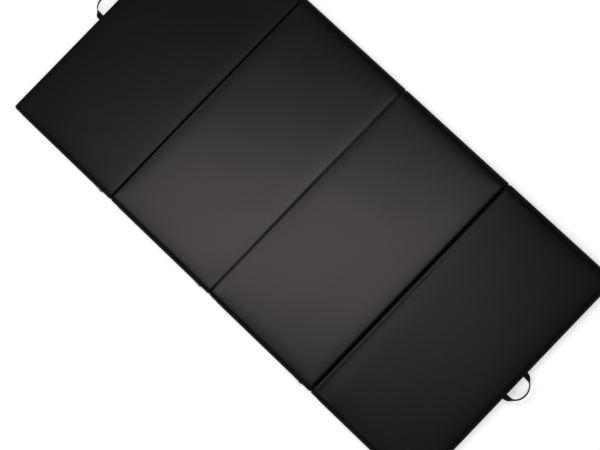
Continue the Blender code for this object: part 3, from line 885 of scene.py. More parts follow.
@dataclass
class Panel:
    """One padded panel: three sewn cover sheets round a foam block."""

    number: int
    finishes: Finishes
    counts: tuple[int, int] = (50, 80)  # faces along X and along Y
    corner_steps: int = 4
    crown_reach: float = 0.140  # in from the rim, where the crown levels out
    wall_heights: tuple[float, ...] = (
        0.0018, 0.0024, 0.0034, 0.0050, 0.0078, 0.0110, 0.0148, 0.0188, 0.0240, 0.0292, 0.0335,
        0.0372, 0.0400, 0.0422, 0.0437, 0.0449, 0.0457, 0.0462,
    )
    rim_heights: tuple[float, ...] = (0.0467, 0.0472, 0.0476, 0.04785, 0.0480)
    crown_insets: tuple[float, ...] = (0.003, 0.008, 0.016, 0.028)
    low_rim_heights: tuple[float, ...] = (0.0013, 0.0008, 0.0004, 0.00015, 0.0)
    floor_insets: tuple[float, ...] = (0.004, 0.012, 0.028)
    low_stitch_ring: int = 4

    # The zip's slot
    slot_half: float = 0.256
    slot_height: float = 0.0104
    slot_margin: float = 0.02  # of the wall round it that the filling leaves alone

    # The foam block
    foam_skin: float = COVER + 0.0009
    foam_recess: float = 0.0009  # behind the zip's tape
    foam_heights: tuple[float, ...] = (
        0.0022, 0.0034, 0.006, 0.011, 0.018, 0.024, 0.030, 0.036, 0.041, 0.0435, 0.0452)
    foam_insets: tuple[float, ...] = (0.0, 0.01, 0.03)

    # What the filling does
    give_of_top: float = 0.0012
    stiff_wall: float = 0.03  # from the outermost line, where a wall keeps to its own give
    stiff_rim: float = 0.05  # from the outermost line, where the top gives fully
    give_ease: float = 3.0  # times the limit, over which a vertex comes near to it

    # Seams
    allowance: float = 0.005  # cloth turned in
    stitched: float = 0.0005  # cloth that stays closed beside the seam
    seam_apart: float = 0.00002  # between the two turned-in edges
    seam_dip: float = 0.0011
    dip_width: float = 0.0013
    seam_ridge: float = 0.0004
    ridge_at: float = 0.0032
    ridge_width: float = 0.0018
    pucker: float = 0.00022
    pucker_at: float = 0.006
    pucker_width: float = 0.009
    pucker_waves: tuple[float, float] = (38.0, 95.0)  # for each metre of seam, wide and narrow
    narrow_share: float = 0.6  # of the narrow ones

    # Unevenness of the top, and the fold beside the last hinge
    unevenness: float = 0.0008
    even_edge: float = 0.02
    uneven_from: float = 0.10  # behind the even edge
    slow_waves: tuple[float, float] = (3.1, 2.6)  # for each metre along X and Y
    quick_waves: tuple[float, float] = (9.0, 8.0)
    quick_share: float = 0.25  # of the quick ones
    welt: float = 0.0010
    welt_at: float = 0.0145
    welt_width: float = 0.006
    valley: float = 0.0019
    valley_at: float = 0.033
    valley_slopes: tuple[float, float] = (0.015, 0.045)
    fold_end: float = 0.45  # Y of its far end
    fold_fade: float = 0.40

    shell: Object | None = None
    seam_lines: list[Line] = field(default_factory=list)

    @property
    def body(self) -> str:
        """Name of the body that the panel rides on."""
        return f"panel_{self.number}"

    @property
    def centre_x(self) -> float:
        """X of the panel's middle."""
        return (self.number - (PANEL_COUNT + 1) / 2) * PITCH

    @property
    def walls(self) -> tuple[Wall, Wall, Wall, Wall]:
        """The walls on +X, +Y, -X and -Y."""
        return CROSS_WALLS[self.number], BACK_WALL, CROSS_WALLS[self.number - 1], FRONT_WALL

    @property
    def ring_size(self) -> int:
        """How many points a ring has."""
        return 2 * sum(self.counts) + 4 * self.corner_steps

    @property
    def ring_count(self) -> int:
        """How many rings the shell has."""
        return len(self.wall_heights) + len(self.rim_heights) + len(self.crown_insets)

    def ring(self, height: float, inset: float = 0.0, skin: float = 0.0, recess: float = 0.0,
             corner: float | None = None) -> np.ndarray:
        """Points round the panel at one height, counter-clockwise from the +X side of the first corner.

        Args:
            height: above the floor.
            inset: farther in than the walls there.
            skin: how deep under the cover's outside.
            recess: how much farther in the front wall lies.
            corner: radius in plan, where it isn't concentric with the outermost line's.

        Returns:
            Rows of x, y and z.
        """
        into = [wall.inset_at(height, skin) for wall in self.walls]
        into[3] += recess
        arcs = [self.arc(quadrant, into, inset, corner) for quadrant in range(4)]
        fade = max(0.0, 1.0 - inset / self.crown_reach)
        points = []
        for side, arc in enumerate(arcs):
            after = (side + 1) % 4
            (x, y), (next_x, next_y) = arc[-1], arcs[after][0]
            inward = (math.sin(side * math.pi / 2), -math.cos(side * math.pi / 2))
            points += arc
            for step in range(1, self.counts[side % 2]):
                share = step / self.counts[side % 2]
                depth = self.walls[after].draw_in * waist(height) * 4 * share * (1 - share) * fade
                points.append((x + (next_x - x) * share + inward[0] * depth,
                               y + (next_y - y) * share + inward[1] * depth))
        flat = np.array(points)
        if abs(height - MID_HEIGHT) < self.slot_height:
            self.keep_slot_columns(flat)
        return np.column_stack([flat[:, 0] + self.centre_x, flat[:, 1], np.full(len(flat), height)])

    def keep_slot_columns(self, flat: np.ndarray) -> None:
        """Moves the two points of the front side nearest to the slot's ends onto them.

        Args:
            flat: rows of x and y in the panel's own frame, changed in place.
        """
        along_x, along_y = self.counts
        first = 3 * (self.corner_steps + 1) + (along_x - 1) + (along_y - 1)
        for end in (-self.slot_half, self.slot_half):
            nearest = first + int(np.argmin(np.abs(flat[first:first + along_x - 1, 0] - end)))
            flat[nearest, 0] = end

    def arc(self, quadrant: int, into: list[float], inset: float, corner: float | None
            ) -> list[tuple[float, float]]:
        """One corner in plan.

        Args:
            quadrant: 0 at +X +Y, then counter-clockwise.
            into: how far in each wall lies.
            inset: farther in than the walls.
            corner: its radius, or None for one concentric with the outermost line's.

        Returns:
            Points from one wall to the next.
        """
        first, second = into[quadrant], into[(quadrant + 1) % 4]
        into_x, into_y = (first, second) if quadrant % 2 == 0 else (second, first)
        across = 1 if quadrant in (0, 3) else -1
        along = 1 if quadrant in (0, 1) else -1
        radius_x = corner or max(CORNER_RADIUS - into_x - inset, LEAST_CORNER)
        radius_y = corner or max(CORNER_RADIUS - into_y - inset, LEAST_CORNER)
        centre_x = across * (PANEL_LENGTH / 2 - into_x - inset - radius_x)
        centre_y = along * (PANEL_WIDTH / 2 - into_y - inset - radius_y)
        angles = [(quadrant + step / self.corner_steps) * math.pi / 2
                  for step in range(self.corner_steps + 1)]
        return [(centre_x + radius_x * math.cos(angle), centre_y + radius_y * math.sin(angle))
                for angle in angles]

    def crown_rise(self, points: np.ndarray, top: float) -> np.ndarray:
        """Height of the crowned top at each point.

        Args:
            points: rows of x, y and z inside the top's edge.
            top: height of that edge.

        Returns:
            One height for each point.
        """
        rims = [wall.inset_at(EDGE_HEIGHT) for wall in self.walls]
        half_x, half_y = PANEL_LENGTH / 2, PANEL_WIDTH / 2
        x, y = points[:, 0] - self.centre_x, points[:, 1]
        from_x = np.minimum(half_x - rims[0] - x, x + half_x - rims[2])
        from_y = np.minimum(half_y - rims[1] - y, y + half_y - rims[3])
        rise = np.ones(len(points))
        for distance in (from_x, from_y):
            rise *= 1.0 - (1.0 - np.clip(distance / self.crown_reach, 0.0, 1.0)) ** 2
        return top + CROWN * rise

    def crown_rings(self, edge: float, insets: tuple[float, ...], skin: float = 0.0, recess: float = 0.0
                    ) -> list[np.ndarray]:
        """Rings on the crowned top, the first of them outermost.

        Args:
            edge: height of the top's edge.
            insets: how far in from it each ring lies.
            skin: how deep under the cover's outside.
            recess: how much farther in the front wall lies.

        Returns:
            The rings.
        """
        rings = []
        for inset in insets:
            made = self.ring(edge, inset, skin, recess, LEAST_CORNER + CORNER_GROWTH * inset)
            made[:, 2] = self.crown_rise(made, edge)
            rings.append(made)
        return rings

    def patch(self, border: np.ndarray) -> tuple[np.ndarray, Faces]:
        """Fills a ring with a grid whose border is the ring itself.

        Args:
            border: the ring's points, counter-clockwise seen from above.

        Returns:
            The points inside the ring, and faces whose numbers count the ring's points first.
        """
        half_arc = self.corner_steps // 2
        across, up = (count + 2 * half_arc for count in self.counts)
        order = np.roll(np.arange(len(border)), -half_arc)
        order = np.append(order, order[0])
        numbers = np.full((across + 1, up + 1), -1, int)
        numbers[:, up] = order[:across + 1][::-1]
        numbers[0] = order[across:across + up + 1][::-1]
        numbers[:, 0] = order[across + up:2 * across + up + 1]
        numbers[across] = order[2 * across + up:]
        inside = np.arange((across - 1) * (up - 1)).reshape(across - 1, up - 1)
        numbers[1:across, 1:up] = len(border) + inside
        low, high, left, right = (border[side] for side in (numbers[:, 0], numbers[:, up], numbers[0],
                                                            numbers[across]))
        u = (np.arange(1, across) / across)[:, None, None]
        v = (np.arange(1, up) / up)[None, :, None]
        sides = (
            (1 - v) * low[1:-1, None] + v * high[1:-1, None]
            + (1 - u) * left[None, 1:-1] + u * right[None, 1:-1]
        )
        corners = (
            (1 - u) * (1 - v) * low[0] + u * (1 - v) * low[across]
            + (1 - u) * v * high[0] + u * v * high[across]
        )
        at = numbers.tolist()
        faces = [(at[i][j], at[i + 1][j], at[i + 1][j + 1], at[i][j + 1])
                 for i in range(across) for j in range(up)]
        return (sides - corners).reshape(-1, 3), faces

    def capped(self, rows: np.ndarray) -> Faces:
        """Faces of stacked rings and of the grid inside the last of them."""
        size = rows.shape[1]
        return band_faces(len(rows), size) + shifted(self.patch(rows[-1])[1], (len(rows) - 1) * size)

    def sew_shell(self) -> None:
        """Makes the walls, the rims and the top as one mesh, ready to be filled."""
        rings = np.array([self.ring(height) for height in self.wall_heights + self.rim_heights]
                         + self.crown_rings(EDGE_HEIGHT, self.crown_insets))
        inner, _ = self.patch(rings[-1])
        inner[:, 2] = self.crown_rise(inner, EDGE_HEIGHT)
        points = np.concatenate([rings.reshape(-1, 3), inner])
        self.shell = mesh_object(f"shell_{self.number}", points, self.capped(rings))

    def add_pressure(self) -> None:
        """Gives the shell its cloth, held on its seams and round the zip, which the foam presses outwards."""
        points, size = points_of(self.shell), self.ring_size
        seam = (len(self.wall_heights) - 1) * size
        held = (
            (points[:, 1] < FRONT + self.slot_margin)
            & (np.abs(points[:, 0] - self.centre_x) < self.slot_half + self.slot_margin)
            & (np.abs(points[:, 2] - MID_HEIGHT) < self.slot_height)
        )
        held[:size] = held[seam:seam + size] = True
        group = self.shell.vertex_groups.new(name="sewn")
        group.add([int(i) for i in np.nonzero(held)[0]], 1.0, "REPLACE")
        cloth = self.shell.modifiers.new("filled", "CLOTH")
        for name, value in COVER_CLOTH.items():
            setattr(cloth.settings, name, value)
        cloth.settings.effector_weights.gravity = 0.0
        cloth.collision_settings.use_collision = False
        cloth.point_cache.frame_start = 1
        cloth.point_cache.frame_end = FILLING_FRAMES

    def settle(self, moved: np.ndarray | None) -> np.ndarray:
        """Limits how far the filling moved each vertex, and adds dips, puckers and unevenness.

        Args:
            moved: the simulated points, or None where the simulation was left out.

        Returns:
            The final points of the shell.
        """
        rest = points_of(self.shell)
        limit = np.full(len(rest), self.give_of_top)
        x, y = rest[:, 0] - self.centre_x, rest[:, 1]
        below = rest[:, 2] < EDGE_HEIGHT - SEAM_DROP + 1e-5
        for side, distance in (
            (0, PANEL_LENGTH / 2 - x), (2, PANEL_LENGTH / 2 + x),
            (1, PANEL_WIDTH / 2 - y), (3, PANEL_WIDTH / 2 + y),
        ):
            give = self.walls[side].give
            near = below & (distance < self.stiff_wall)
            limit[near] = np.minimum(limit[near], give)
            rim = ~below & (distance < self.stiff_rim)
            soft = give + (self.give_of_top - give) * smooth_step(distance[rim] / self.stiff_rim)
            limit[rim] = np.minimum(limit[rim], soft)
        final = rest.copy()
        if moved is not None:
            shift = moved - rest
            length = np.linalg.norm(shift, axis=1)
            scaled = limit * (1.0 - np.exp(-length / (self.give_ease * limit)))
            final += shift * (scaled / np.maximum(length, 1e-9))[:, None]
        self.shape_seams(final)
        self.make_uneven(final)
        # The top stays under the plane that the folded panels meet in
        rise = np.maximum(final[:, 2] - EDGE_HEIGHT, 0.0)
        final[:, 2] += rise / (1.0 + (rise / CROWN) ** 4) ** 0.25 - rise
        return final

    def shape_seams(self, points: np.ndarray) -> None:
        """Pulls each seam in between two soft ridges, and puckers the cover beside it.

        Args:
            points: the shell's points, changed in place.
        """
        rings = points[:self.ring_size * self.ring_count].reshape(self.ring_count, -1, 3)
        normals, run = ring_normals(rings), run_up(rings)
        around = np.cumsum(np.linalg.norm(rings[0] - np.roll(rings[0], 1, axis=0), axis=1))
        for seam in (0, len(self.wall_heights) - 1):
            near = np.abs(run - run[seam])
            offset = -self.seam_dip * np.exp(-((near / self.dip_width) ** 2))
            offset += self.seam_ridge * np.exp(-(((near - self.ridge_at) / self.ridge_width) ** 2))
            wide, narrow = self.pucker_waves
            waves = np.array([
                noise.noise((float(place) * wide, self.number * 7.3, seam * 1.7))
                + self.narrow_share * noise.noise((float(place) * narrow, self.number * 3.1, seam * 2.9))
                for place in around
            ])
            fade = np.exp(-((near - self.pucker_at) / self.pucker_width) ** 2)
            offset += self.pucker * waves[None, :] * fade
            rings += normals * offset[:, :, None]

    def make_uneven(self, points: np.ndarray) -> None:
        """Adds the slow unevenness of foam under a loose cover to the top, and the fold beside a strip.

        Args:
            points: the shell's points, changed in place.
        """
        top = points[self.ring_size * (self.ring_count - len(self.crown_insets)):]
        x, y = top[:, 0], top[:, 1]
        distance = np.minimum(PANEL_LENGTH / 2 - np.abs(x - self.centre_x), PANEL_WIDTH / 2 - np.abs(y))
        fade = smooth_step((distance - self.even_edge) / self.uneven_from)
        (slow_x, slow_y), (quick_x, quick_y) = self.slow_waves, self.quick_waves
        waves = np.array([
            noise.noise((a * slow_x + self.number * 5.0, b * slow_y, 0.3))
            + self.quick_share * noise.noise((a * quick_x, b * quick_y + self.number * 4.0, 1.9))
            for a, b in top[:, :2]
        ])
        if self.number == PANEL_COUNT:
            top[:, 2] += self.fold_beside_strip(x, y)
        top[:, 2] += self.unevenness * fade * waves

    def fold_beside_strip(self, x: np.ndarray, y: np.ndarray) -> np.ndarray:
        """Height of the welt and the shallow valley behind it, along the last panel's hinge side.

        Args:
            x: place of each point along the mat.
            y: its place across the mat.

        Returns:
            The rise of each, below zero in the valley.
        """
        inside = x - self.centre_x + PANEL_LENGTH / 2
        past = inside - self.valley_at
        slope = np.where(past < 0.0, *self.valley_slopes)
        valley = self.valley * np.exp(-((past / slope) ** 2))
        welt = self.welt * np.exp(-(((inside - self.welt_at) / self.welt_width) ** 2))
        return smooth_step((self.fold_end - y) / self.fold_fade) * (welt - valley)

    def cut_covers(self, moved: np.ndarray | None) -> list[Object]:
        """Cuts the filled shell into its top sheet and boxing, and adds the sheet underneath.

        Args:
            moved: the simulated points of the shell, or None.

        Returns:
            The three cover pieces.
        """
        points = self.settle(moved)
        bpy.data.objects.remove(self.shell, do_unlink=True)
        self.shell = None
        rings = points[:self.ring_size * self.ring_count].reshape(self.ring_count, -1, 3)
        inner = points[self.ring_size * self.ring_count:]
        normals = ring_normals(rings)
        walls = len(self.wall_heights)
        self.seam_lines = [
            (np.concatenate([rings[at], rings[at][:1]]), np.concatenate([normals[at], normals[at][:1]]))
            for at in (walls + 1, self.low_stitch_ring)
        ]
        depths = np.array([self.allowance, self.stitched])[:, None, None]
        turned_in = rings[walls - 1] - depths * normals[walls - 1]
        low_in = rings[0] - depths * normals[0]
        aside = rings[walls] - rings[walls - 2]
        aside *= self.seam_apart / np.linalg.norm(aside, axis=1, keepdims=True)
        floor = np.array([
            *low_in, rings[0], *(self.ring(height) for height in self.low_rim_heights),
            *(self.ring(0.0, inset, corner=LEAST_CORNER + CORNER_GROWTH * inset)
              for inset in self.floor_insets),
        ])
        finishes = self.finishes
        # The end panels get the painted-shade copy of the top vinyl
        top_finish = finishes.shaded_outer_top if self.number in (1, PANEL_COUNT) else finishes.top
        return [
            self.cover(CoverPart.TOP, np.concatenate([turned_in + aside, rings[walls - 1:]]), inner,
                       top_finish),
            self.cover(CoverPart.BOXING, np.concatenate([low_in, rings[:walls], (turned_in - aside)[::-1]]),
                       inner[:0], finishes.wall),
            self.cover(CoverPart.BOTTOM, floor, self.patch(floor[-1])[0], finishes.bottom),
        ]

    def cover(self, part: CoverPart, rows: np.ndarray, inner: np.ndarray, material: Material) -> Object:
        """Makes one cover sheet with its thickness.

        Args:
            part: which of the three it is.
            rows: its rings, from the turned-in edge on.
            inner: the points inside the last ring, none for the boxing.
            material: what it is made of.

        Returns:
            The sheet.
        """
        kind, node, slot, levels = part.value
        seam = 2  # rings of turned-in cloth come before it
        # Mask of rubbed wear and of the painted shade beside the seams
        near = seam_wear_and_shade_mask(rows, seam)
        if part is CoverPart.BOXING:
            near = np.maximum(near, seam_wear_and_shade_mask(rows, len(rows) - 1 - seam))
            faces = self.round_slot(rows)
        else:
            faces = self.capped(rows)
        if part is CoverPart.BOTTOM:
            faces = [face[::-1] for face in faces]
        item = mesh_object(f"{kind}_{self.number}", np.concatenate([rows.reshape(-1, 3), inner]), faces)
        values = np.concatenate([near.reshape(-1), np.zeros(len(inner))]).astype(np.float32)
        item.data.attributes.new("seam_wear_and_shade", "FLOAT", "POINT").data.foreach_set("value", values)
        clean_loose(item)
        if levels:
            modify(item, "SUBSURF", levels=levels, render_levels=levels)
        modify(item, "SOLIDIFY", thickness=COVER, offset=-1.0)
        apply_all(item)
        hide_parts(f"{node}_{self.number}")
        dress(item, material, slot, self.body)
        return item

    def round_slot(self, rows: np.ndarray) -> Faces:
        """Cuts the zip's slot out of the boxing's faces.

        Args:
            rows: the boxing's rings.

        Returns:
            The faces that are left.
        """
        size, points = rows.shape[1], rows.reshape(-1, 3)
        kept = []
        for face in band_faces(len(rows), size):
            middle = np.mean(points[list(face)], axis=0)
            in_slot = (
                middle[1] < FRONT + self.slot_margin
                and abs(middle[0] - self.centre_x) < self.slot_half
                and abs(middle[2] - MID_HEIGHT) < self.slot_height / 2
            )
            if not in_slot:
                kept.append(face)
        return kept

    def foam_block(self) -> Object:
        """Makes the foam block that fills the covers.

        Returns:
            The block.
        """
        skin, recess, edge = self.foam_skin, self.foam_recess, EDGE_HEIGHT - self.foam_skin
        rows = np.array([self.ring(height, skin=skin, recess=recess) for height in (skin, *self.foam_heights)]
                        + self.crown_rings(edge, self.foam_insets, skin, recess))
        size = rows.shape[1]
        top_inner, _ = self.patch(rows[-1])
        top_inner[:, 2] = self.crown_rise(top_inner, edge)
        low_inner, low_faces = self.patch(rows[0])
        shift = len(rows) * size + len(top_inner) - size
        faces = self.capped(rows) + [
            tuple(corner if corner < size else corner + shift for corner in face)[::-1] for face in low_faces
        ]
        points = np.concatenate([rows.reshape(-1, 3), top_inner, low_inner])
        item = mesh_object(f"foam_block_{self.number}", points, faces)
        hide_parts(f"foam_core_{self.number}")
        dress(item, self.finishes.foam, Slot.FOAM, self.body)
        return item

    def build(self, moved: np.ndarray | None) -> list[Object]:
        """Makes the covers, the foam and the stitches beside the two seams.

        Args:
            moved: the simulated points of the shell, or None.

        Returns:
            The new pieces.
        """
        made = [*self.cut_covers(moved), self.foam_block()]
        return made + [Stitches().along(f"seam_stitches_{self.number}", self.seam_lines,
                                        self.finishes.thread, Slot.TOP_COVER, self.body)]


def fill_panels(panels: list[Panel]) -> list[np.ndarray | None]:
    """Runs the cloth simulation of all panels together.

    Args:
        panels: panels whose shells are sewn.
    """
    for panel in panels:
        panel.add_pressure()
    for step in range(1, FILLING_FRAMES + 1):
        bpy.context.scene.frame_set(step)
    depsgraph = bpy.context.evaluated_depsgraph_get()
    moved = []
    for panel in panels:
        moved.append(points_of(panel.shell.evaluated_get(depsgraph)))
        panel.shell.modifiers.clear()
    bpy.context.scene.frame_set(1)
    return moved


# Sewn and woven goods


@dataclass(frozen=True)
class Stitches:
    """Rows of sewn thread, each stitch a short capsule half sunk in the cloth."""

    radius: float = 0.00035
    length: float = 0.0036
    pitch: float = 0.0052
    proud: float = 0.2  # of the middle above the cloth, as a share of the radius
    taper: tuple[float, float] = (0.45, 0.9)

    def along(self, name: str, lines: list[Line], thread: Material, slot: Slot, body: str) -> Object:
        """Sews rows along lines.

        Args:
            name: name of the piece.
            lines: points of each row, and which way the cloth faces at each.
            thread: what the stitches are made of.
            slot: the record's slot that they go with.
            body: the body that they ride on.

        Returns:
            The rows as one piece.
        """
        places = []
        for points, facing in lines:
            run = run_along(points)
            starts = np.arange(self.pitch / 2, run[-1] - self.pitch / 2, self.pitch)
            rows = zip(along_rows(starts, points, run), along_rows(starts + self.pitch / 4, points, run),
                       along_rows(starts, facing, run))
            for at, ahead, out in rows:
                forward = (Vector(ahead) - Vector(at)).normalized()
                side = Vector(out).cross(forward).normalized()
                up = forward.cross(side)
                turn = Matrix((forward, side, up)).transposed().to_4x4()
                places.append(Matrix.Translation(Vector(at) + up * self.radius * self.proud) @ turn)
        rows = copies(name, tapered_rod(5, self.radius, self.length, self.taper, lying=True), places)
        dress(rows, thread, slot, body)
        return rows


def woven_strip(name: str, line: np.ndarray, across: np.ndarray, width: float, thickness: float, steps: int
                ) -> Object:
    """Makes a flat strip of webbing or tape along a line, with its weave mapped in metres.

    Args:
        name: name of the piece.
        line: points along the strip's middle.
        across: unit direction across the strip at each point.
        width: of the strip.
        thickness: of the strip.
        steps: faces across it.

    Returns:
        The strip, a closed form with soft edges.
    """
    strip, along, aside = ribbon(name, line, across, width, steps)
    weave = strip.data.uv_layers[0]
    weave.name = "weave"
    for loop in strip.data.loops:
        weave.data[loop.index].uv = (along[loop.vertex_index], aside[loop.vertex_index])
    modify(strip, "SOLIDIFY", thickness=thickness, offset=0.0)
    modify(strip, "BEVEL", width=thickness * STRIP_ROUND, segments=2, angle_limit=STRIP_EDGE)
    apply_all(strip)
    return strip


@dataclass(frozen=True)
class HingeStrip:
    """The strip of cover cloth that joins two panels, folded into their gap."""

    hinge: int
    finishes: Finishes
    thickness: float = 0.0008
    leg: float = 0.0075  # from the bottom of the fold to the stitched edges
    end_inset: float = 0.040  # from the mat's sides
    fit: float = 0.0001  # to the walls
    fold_steps: int = 10
    leg_steps: int = 4
    length_steps: int = 140
    ripple: float = 0.00008
    ripple_waves: float = 55.0  # for each metre
    seam_below_edge: float = 0.002
    thread_radius: float = 0.00028
    row_points: int = 200

    @property
    def side(self) -> StripSide:
        """The face that it is on: the underside for odd hinges, the top for even ones."""
        return StripSide.TOP if self.hinge % 2 == 0 else StripSide.BOTTOM

    @property
    def x(self) -> float:
        """X of the hinge."""
        return (self.hinge - PANEL_COUNT / 2) * PITCH

    @property
    def radius(self) -> float:
        """Half the distance between the middles of its two legs."""
        return (HINGE_GAP - self.thickness) / 2 - self.fit

    @property
    def lowest(self) -> float:
        """Height of the fold's middle above the face that it is on."""
        return self.fit + self.thickness / 2

    def lift(self, height: np.ndarray | float) -> np.ndarray | float:
        """Turns heights over for a strip on top of the mat."""
        return EDGE_HEIGHT - height if self.side is StripSide.TOP else height

    def build(self) -> list[Object]:
        """Makes the strip and the stitches in its legs.

        Returns:
            The strip and one row of stitches for each panel.
        """
        radius = self.radius
        turns = np.linspace(math.pi, 2 * math.pi, self.fold_steps + 1)
        rise = np.linspace(self.leg, radius, self.leg_steps + 1)[:-1]
        flank = np.full(self.leg_steps, radius)
        x = np.concatenate([-flank, radius * np.cos(turns), flank])
        z = np.concatenate([rise, radius * (1 + np.sin(turns)), rise[::-1]]) + self.lowest
        half = PANEL_WIDTH / 2 - self.end_inset
        line = np.column_stack([self.x + x, np.zeros(len(x)), z])
        across = np.tile((0.0, 1.0, 0.0), (len(x), 1))
        strip, _, along = ribbon(f"hinge_web_{self.hinge}", line, across, 2 * half, self.length_steps)
        points = points_of(strip)
        wave = np.array([noise.noise((float(y) * self.ripple_waves, self.hinge * 3.7, 0.0)) for y in along])
        points[:, 2] = self.lift(points[:, 2] + self.ripple * wave)
        put_points(strip, points)
        modify(strip, "SOLIDIFY", thickness=self.thickness, offset=0.0)
        apply_all(strip)
        dress(strip, self.finishes.strip, Slot.HINGE_COVER, "")
        sides = (self.hinge, self.hinge + 1)
        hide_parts(f"hinge_strip_{self.hinge}")
        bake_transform(strip)
        return [strip, *(self.sew_leg(sign, number) for sign, number in zip((-1, 1), sides))]

    def sew_leg(self, sign: int, panel: int) -> Object:
        """Sews the row of stitches that holds one leg.

        Args:
            sign: which side of the hinge it is on, along X.
            panel: number of the panel there.

        Returns:
            The row.
        """
        half = PANEL_WIDTH / 2 - self.end_inset
        x = self.x + sign * (self.radius - self.thickness / 2)
        level = float(self.lift(self.leg + self.lowest - self.seam_below_edge))
        row = np.array([(x, y, level) for y in np.linspace(-half, half, self.row_points)])
        facing = np.tile((-float(sign), 0.0, 0.0), (self.row_points, 1))
        return Stitches(radius=self.thread_radius).along(
            f"hinge_stitches_{self.hinge}_{panel}", [(row, facing)], self.finishes.thread,
            Slot.HINGE_COVER, f"panel_{panel}")


@dataclass(frozen=True)
class CarryHandle:
    """A loop of webbing whose two ends come out of the top seam."""

    end: MatEnd
    finishes: Finishes
    width: float = 0.025
    thickness: float = 0.002
    span: float = 0.124  # between the middles of its ends
    reach: float = 0.060  # out from the mat
    sag: float = 0.017
    turn: float = 0.042  # how far out it has turned as far as it does
    twist: float = math.radians(84)
    height: float = 0.04545  # of its ends
    hidden: float = 0.004  # inside the seam
    root_steps: int = 7
    steps: int = 64
    width_steps: int = 8
    blend_half: float = 0.003  # to each side of the swing axis
    tack_rows: tuple[float, float] = (0.0022, 0.0052)  # out from the seam
    tack_margin: float = 0.001
    tack_points: int = 12
    tack: Stitches = Stitches(radius=0.0004, length=0.0030, pitch=0.0038)

    @property
    def seam_inset(self) -> float:
        """How far inside the mat's end the top seam lies."""
        wall = CROSS_WALLS[0 if self.end is MatEnd.LEFT else -1]
        return wall.inset_at(EDGE_HEIGHT - SEAM_DROP)

    def path(self) -> Line:
        """The strap's line from seam to seam, and the direction across it.

        Returns:
            Points, and a unit direction at each.
        """
        outward = self.end.value[1]
        root = np.linspace(-self.seam_inset - self.hidden, 0.0, self.root_steps + 1)[:-1]
        angle = np.linspace(0.0, math.pi, self.steps + 1)
        out = np.sin(angle)
        level = np.zeros(len(root))
        flank = np.full(len(root), self.span / 2)
        x = np.concatenate([root, self.reach * out, root[::-1]])
        y = np.concatenate([-flank, -self.span / 2 * np.cos(angle), flank])
        z = np.concatenate([level, -self.sag * out, level])
        twist = np.concatenate([level, self.twist * smooth_step(self.reach * out / self.turn), level])
        line = np.column_stack([outward * (MAT_END + x), y, self.height + z])
        ahead = np.gradient(line, axis=0)
        ahead /= np.linalg.norm(ahead, axis=1, keepdims=True)
        flat = np.cross((0.0, 0.0, 1.0), ahead)
        flat /= np.linalg.norm(flat, axis=1, keepdims=True)
        turned = outward * twist[:, None]
        return line, flat * np.cos(turned) + np.cross(ahead, flat) * np.sin(turned)

    def build(self) -> list[Object]:
        """Makes the strap and the tacking stitches at its two ends.

        Returns:
            The strap and its stitches.
        """
        number, outward = self.end.value
        line, across = self.path()
        strap = woven_strip(f"handle_strap_{number}", line, across, self.width, self.thickness,
                            self.width_steps)
        dress(strap, self.finishes.webbing, Slot.WEBBING, "")
        float(run_along(line)[-1])
        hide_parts(f"handle_{number}", f"handle_{number}_tail_left", f"handle_{number}_tail_right")
        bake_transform(strap)
        half, count = self.width / 2 - self.tack_margin, self.tack_points
        up = np.tile((0.0, 0.0, 1.0), (count, 1))
        rows = []
        for middle in (-self.span / 2, self.span / 2):
            for out in self.tack_rows:
                x = np.full(count, outward * (MAT_END - self.seam_inset + out))
                y = np.linspace(middle - half, middle + half, count)
                rows.append((np.column_stack([x, y, np.full(count, self.height + self.thickness / 2)]), up))
        return [strap, self.tack.along(f"handle_tacks_{number}", rows, self.finishes.thread,
                                       Slot.WEBBING, f"panel_{number}")]


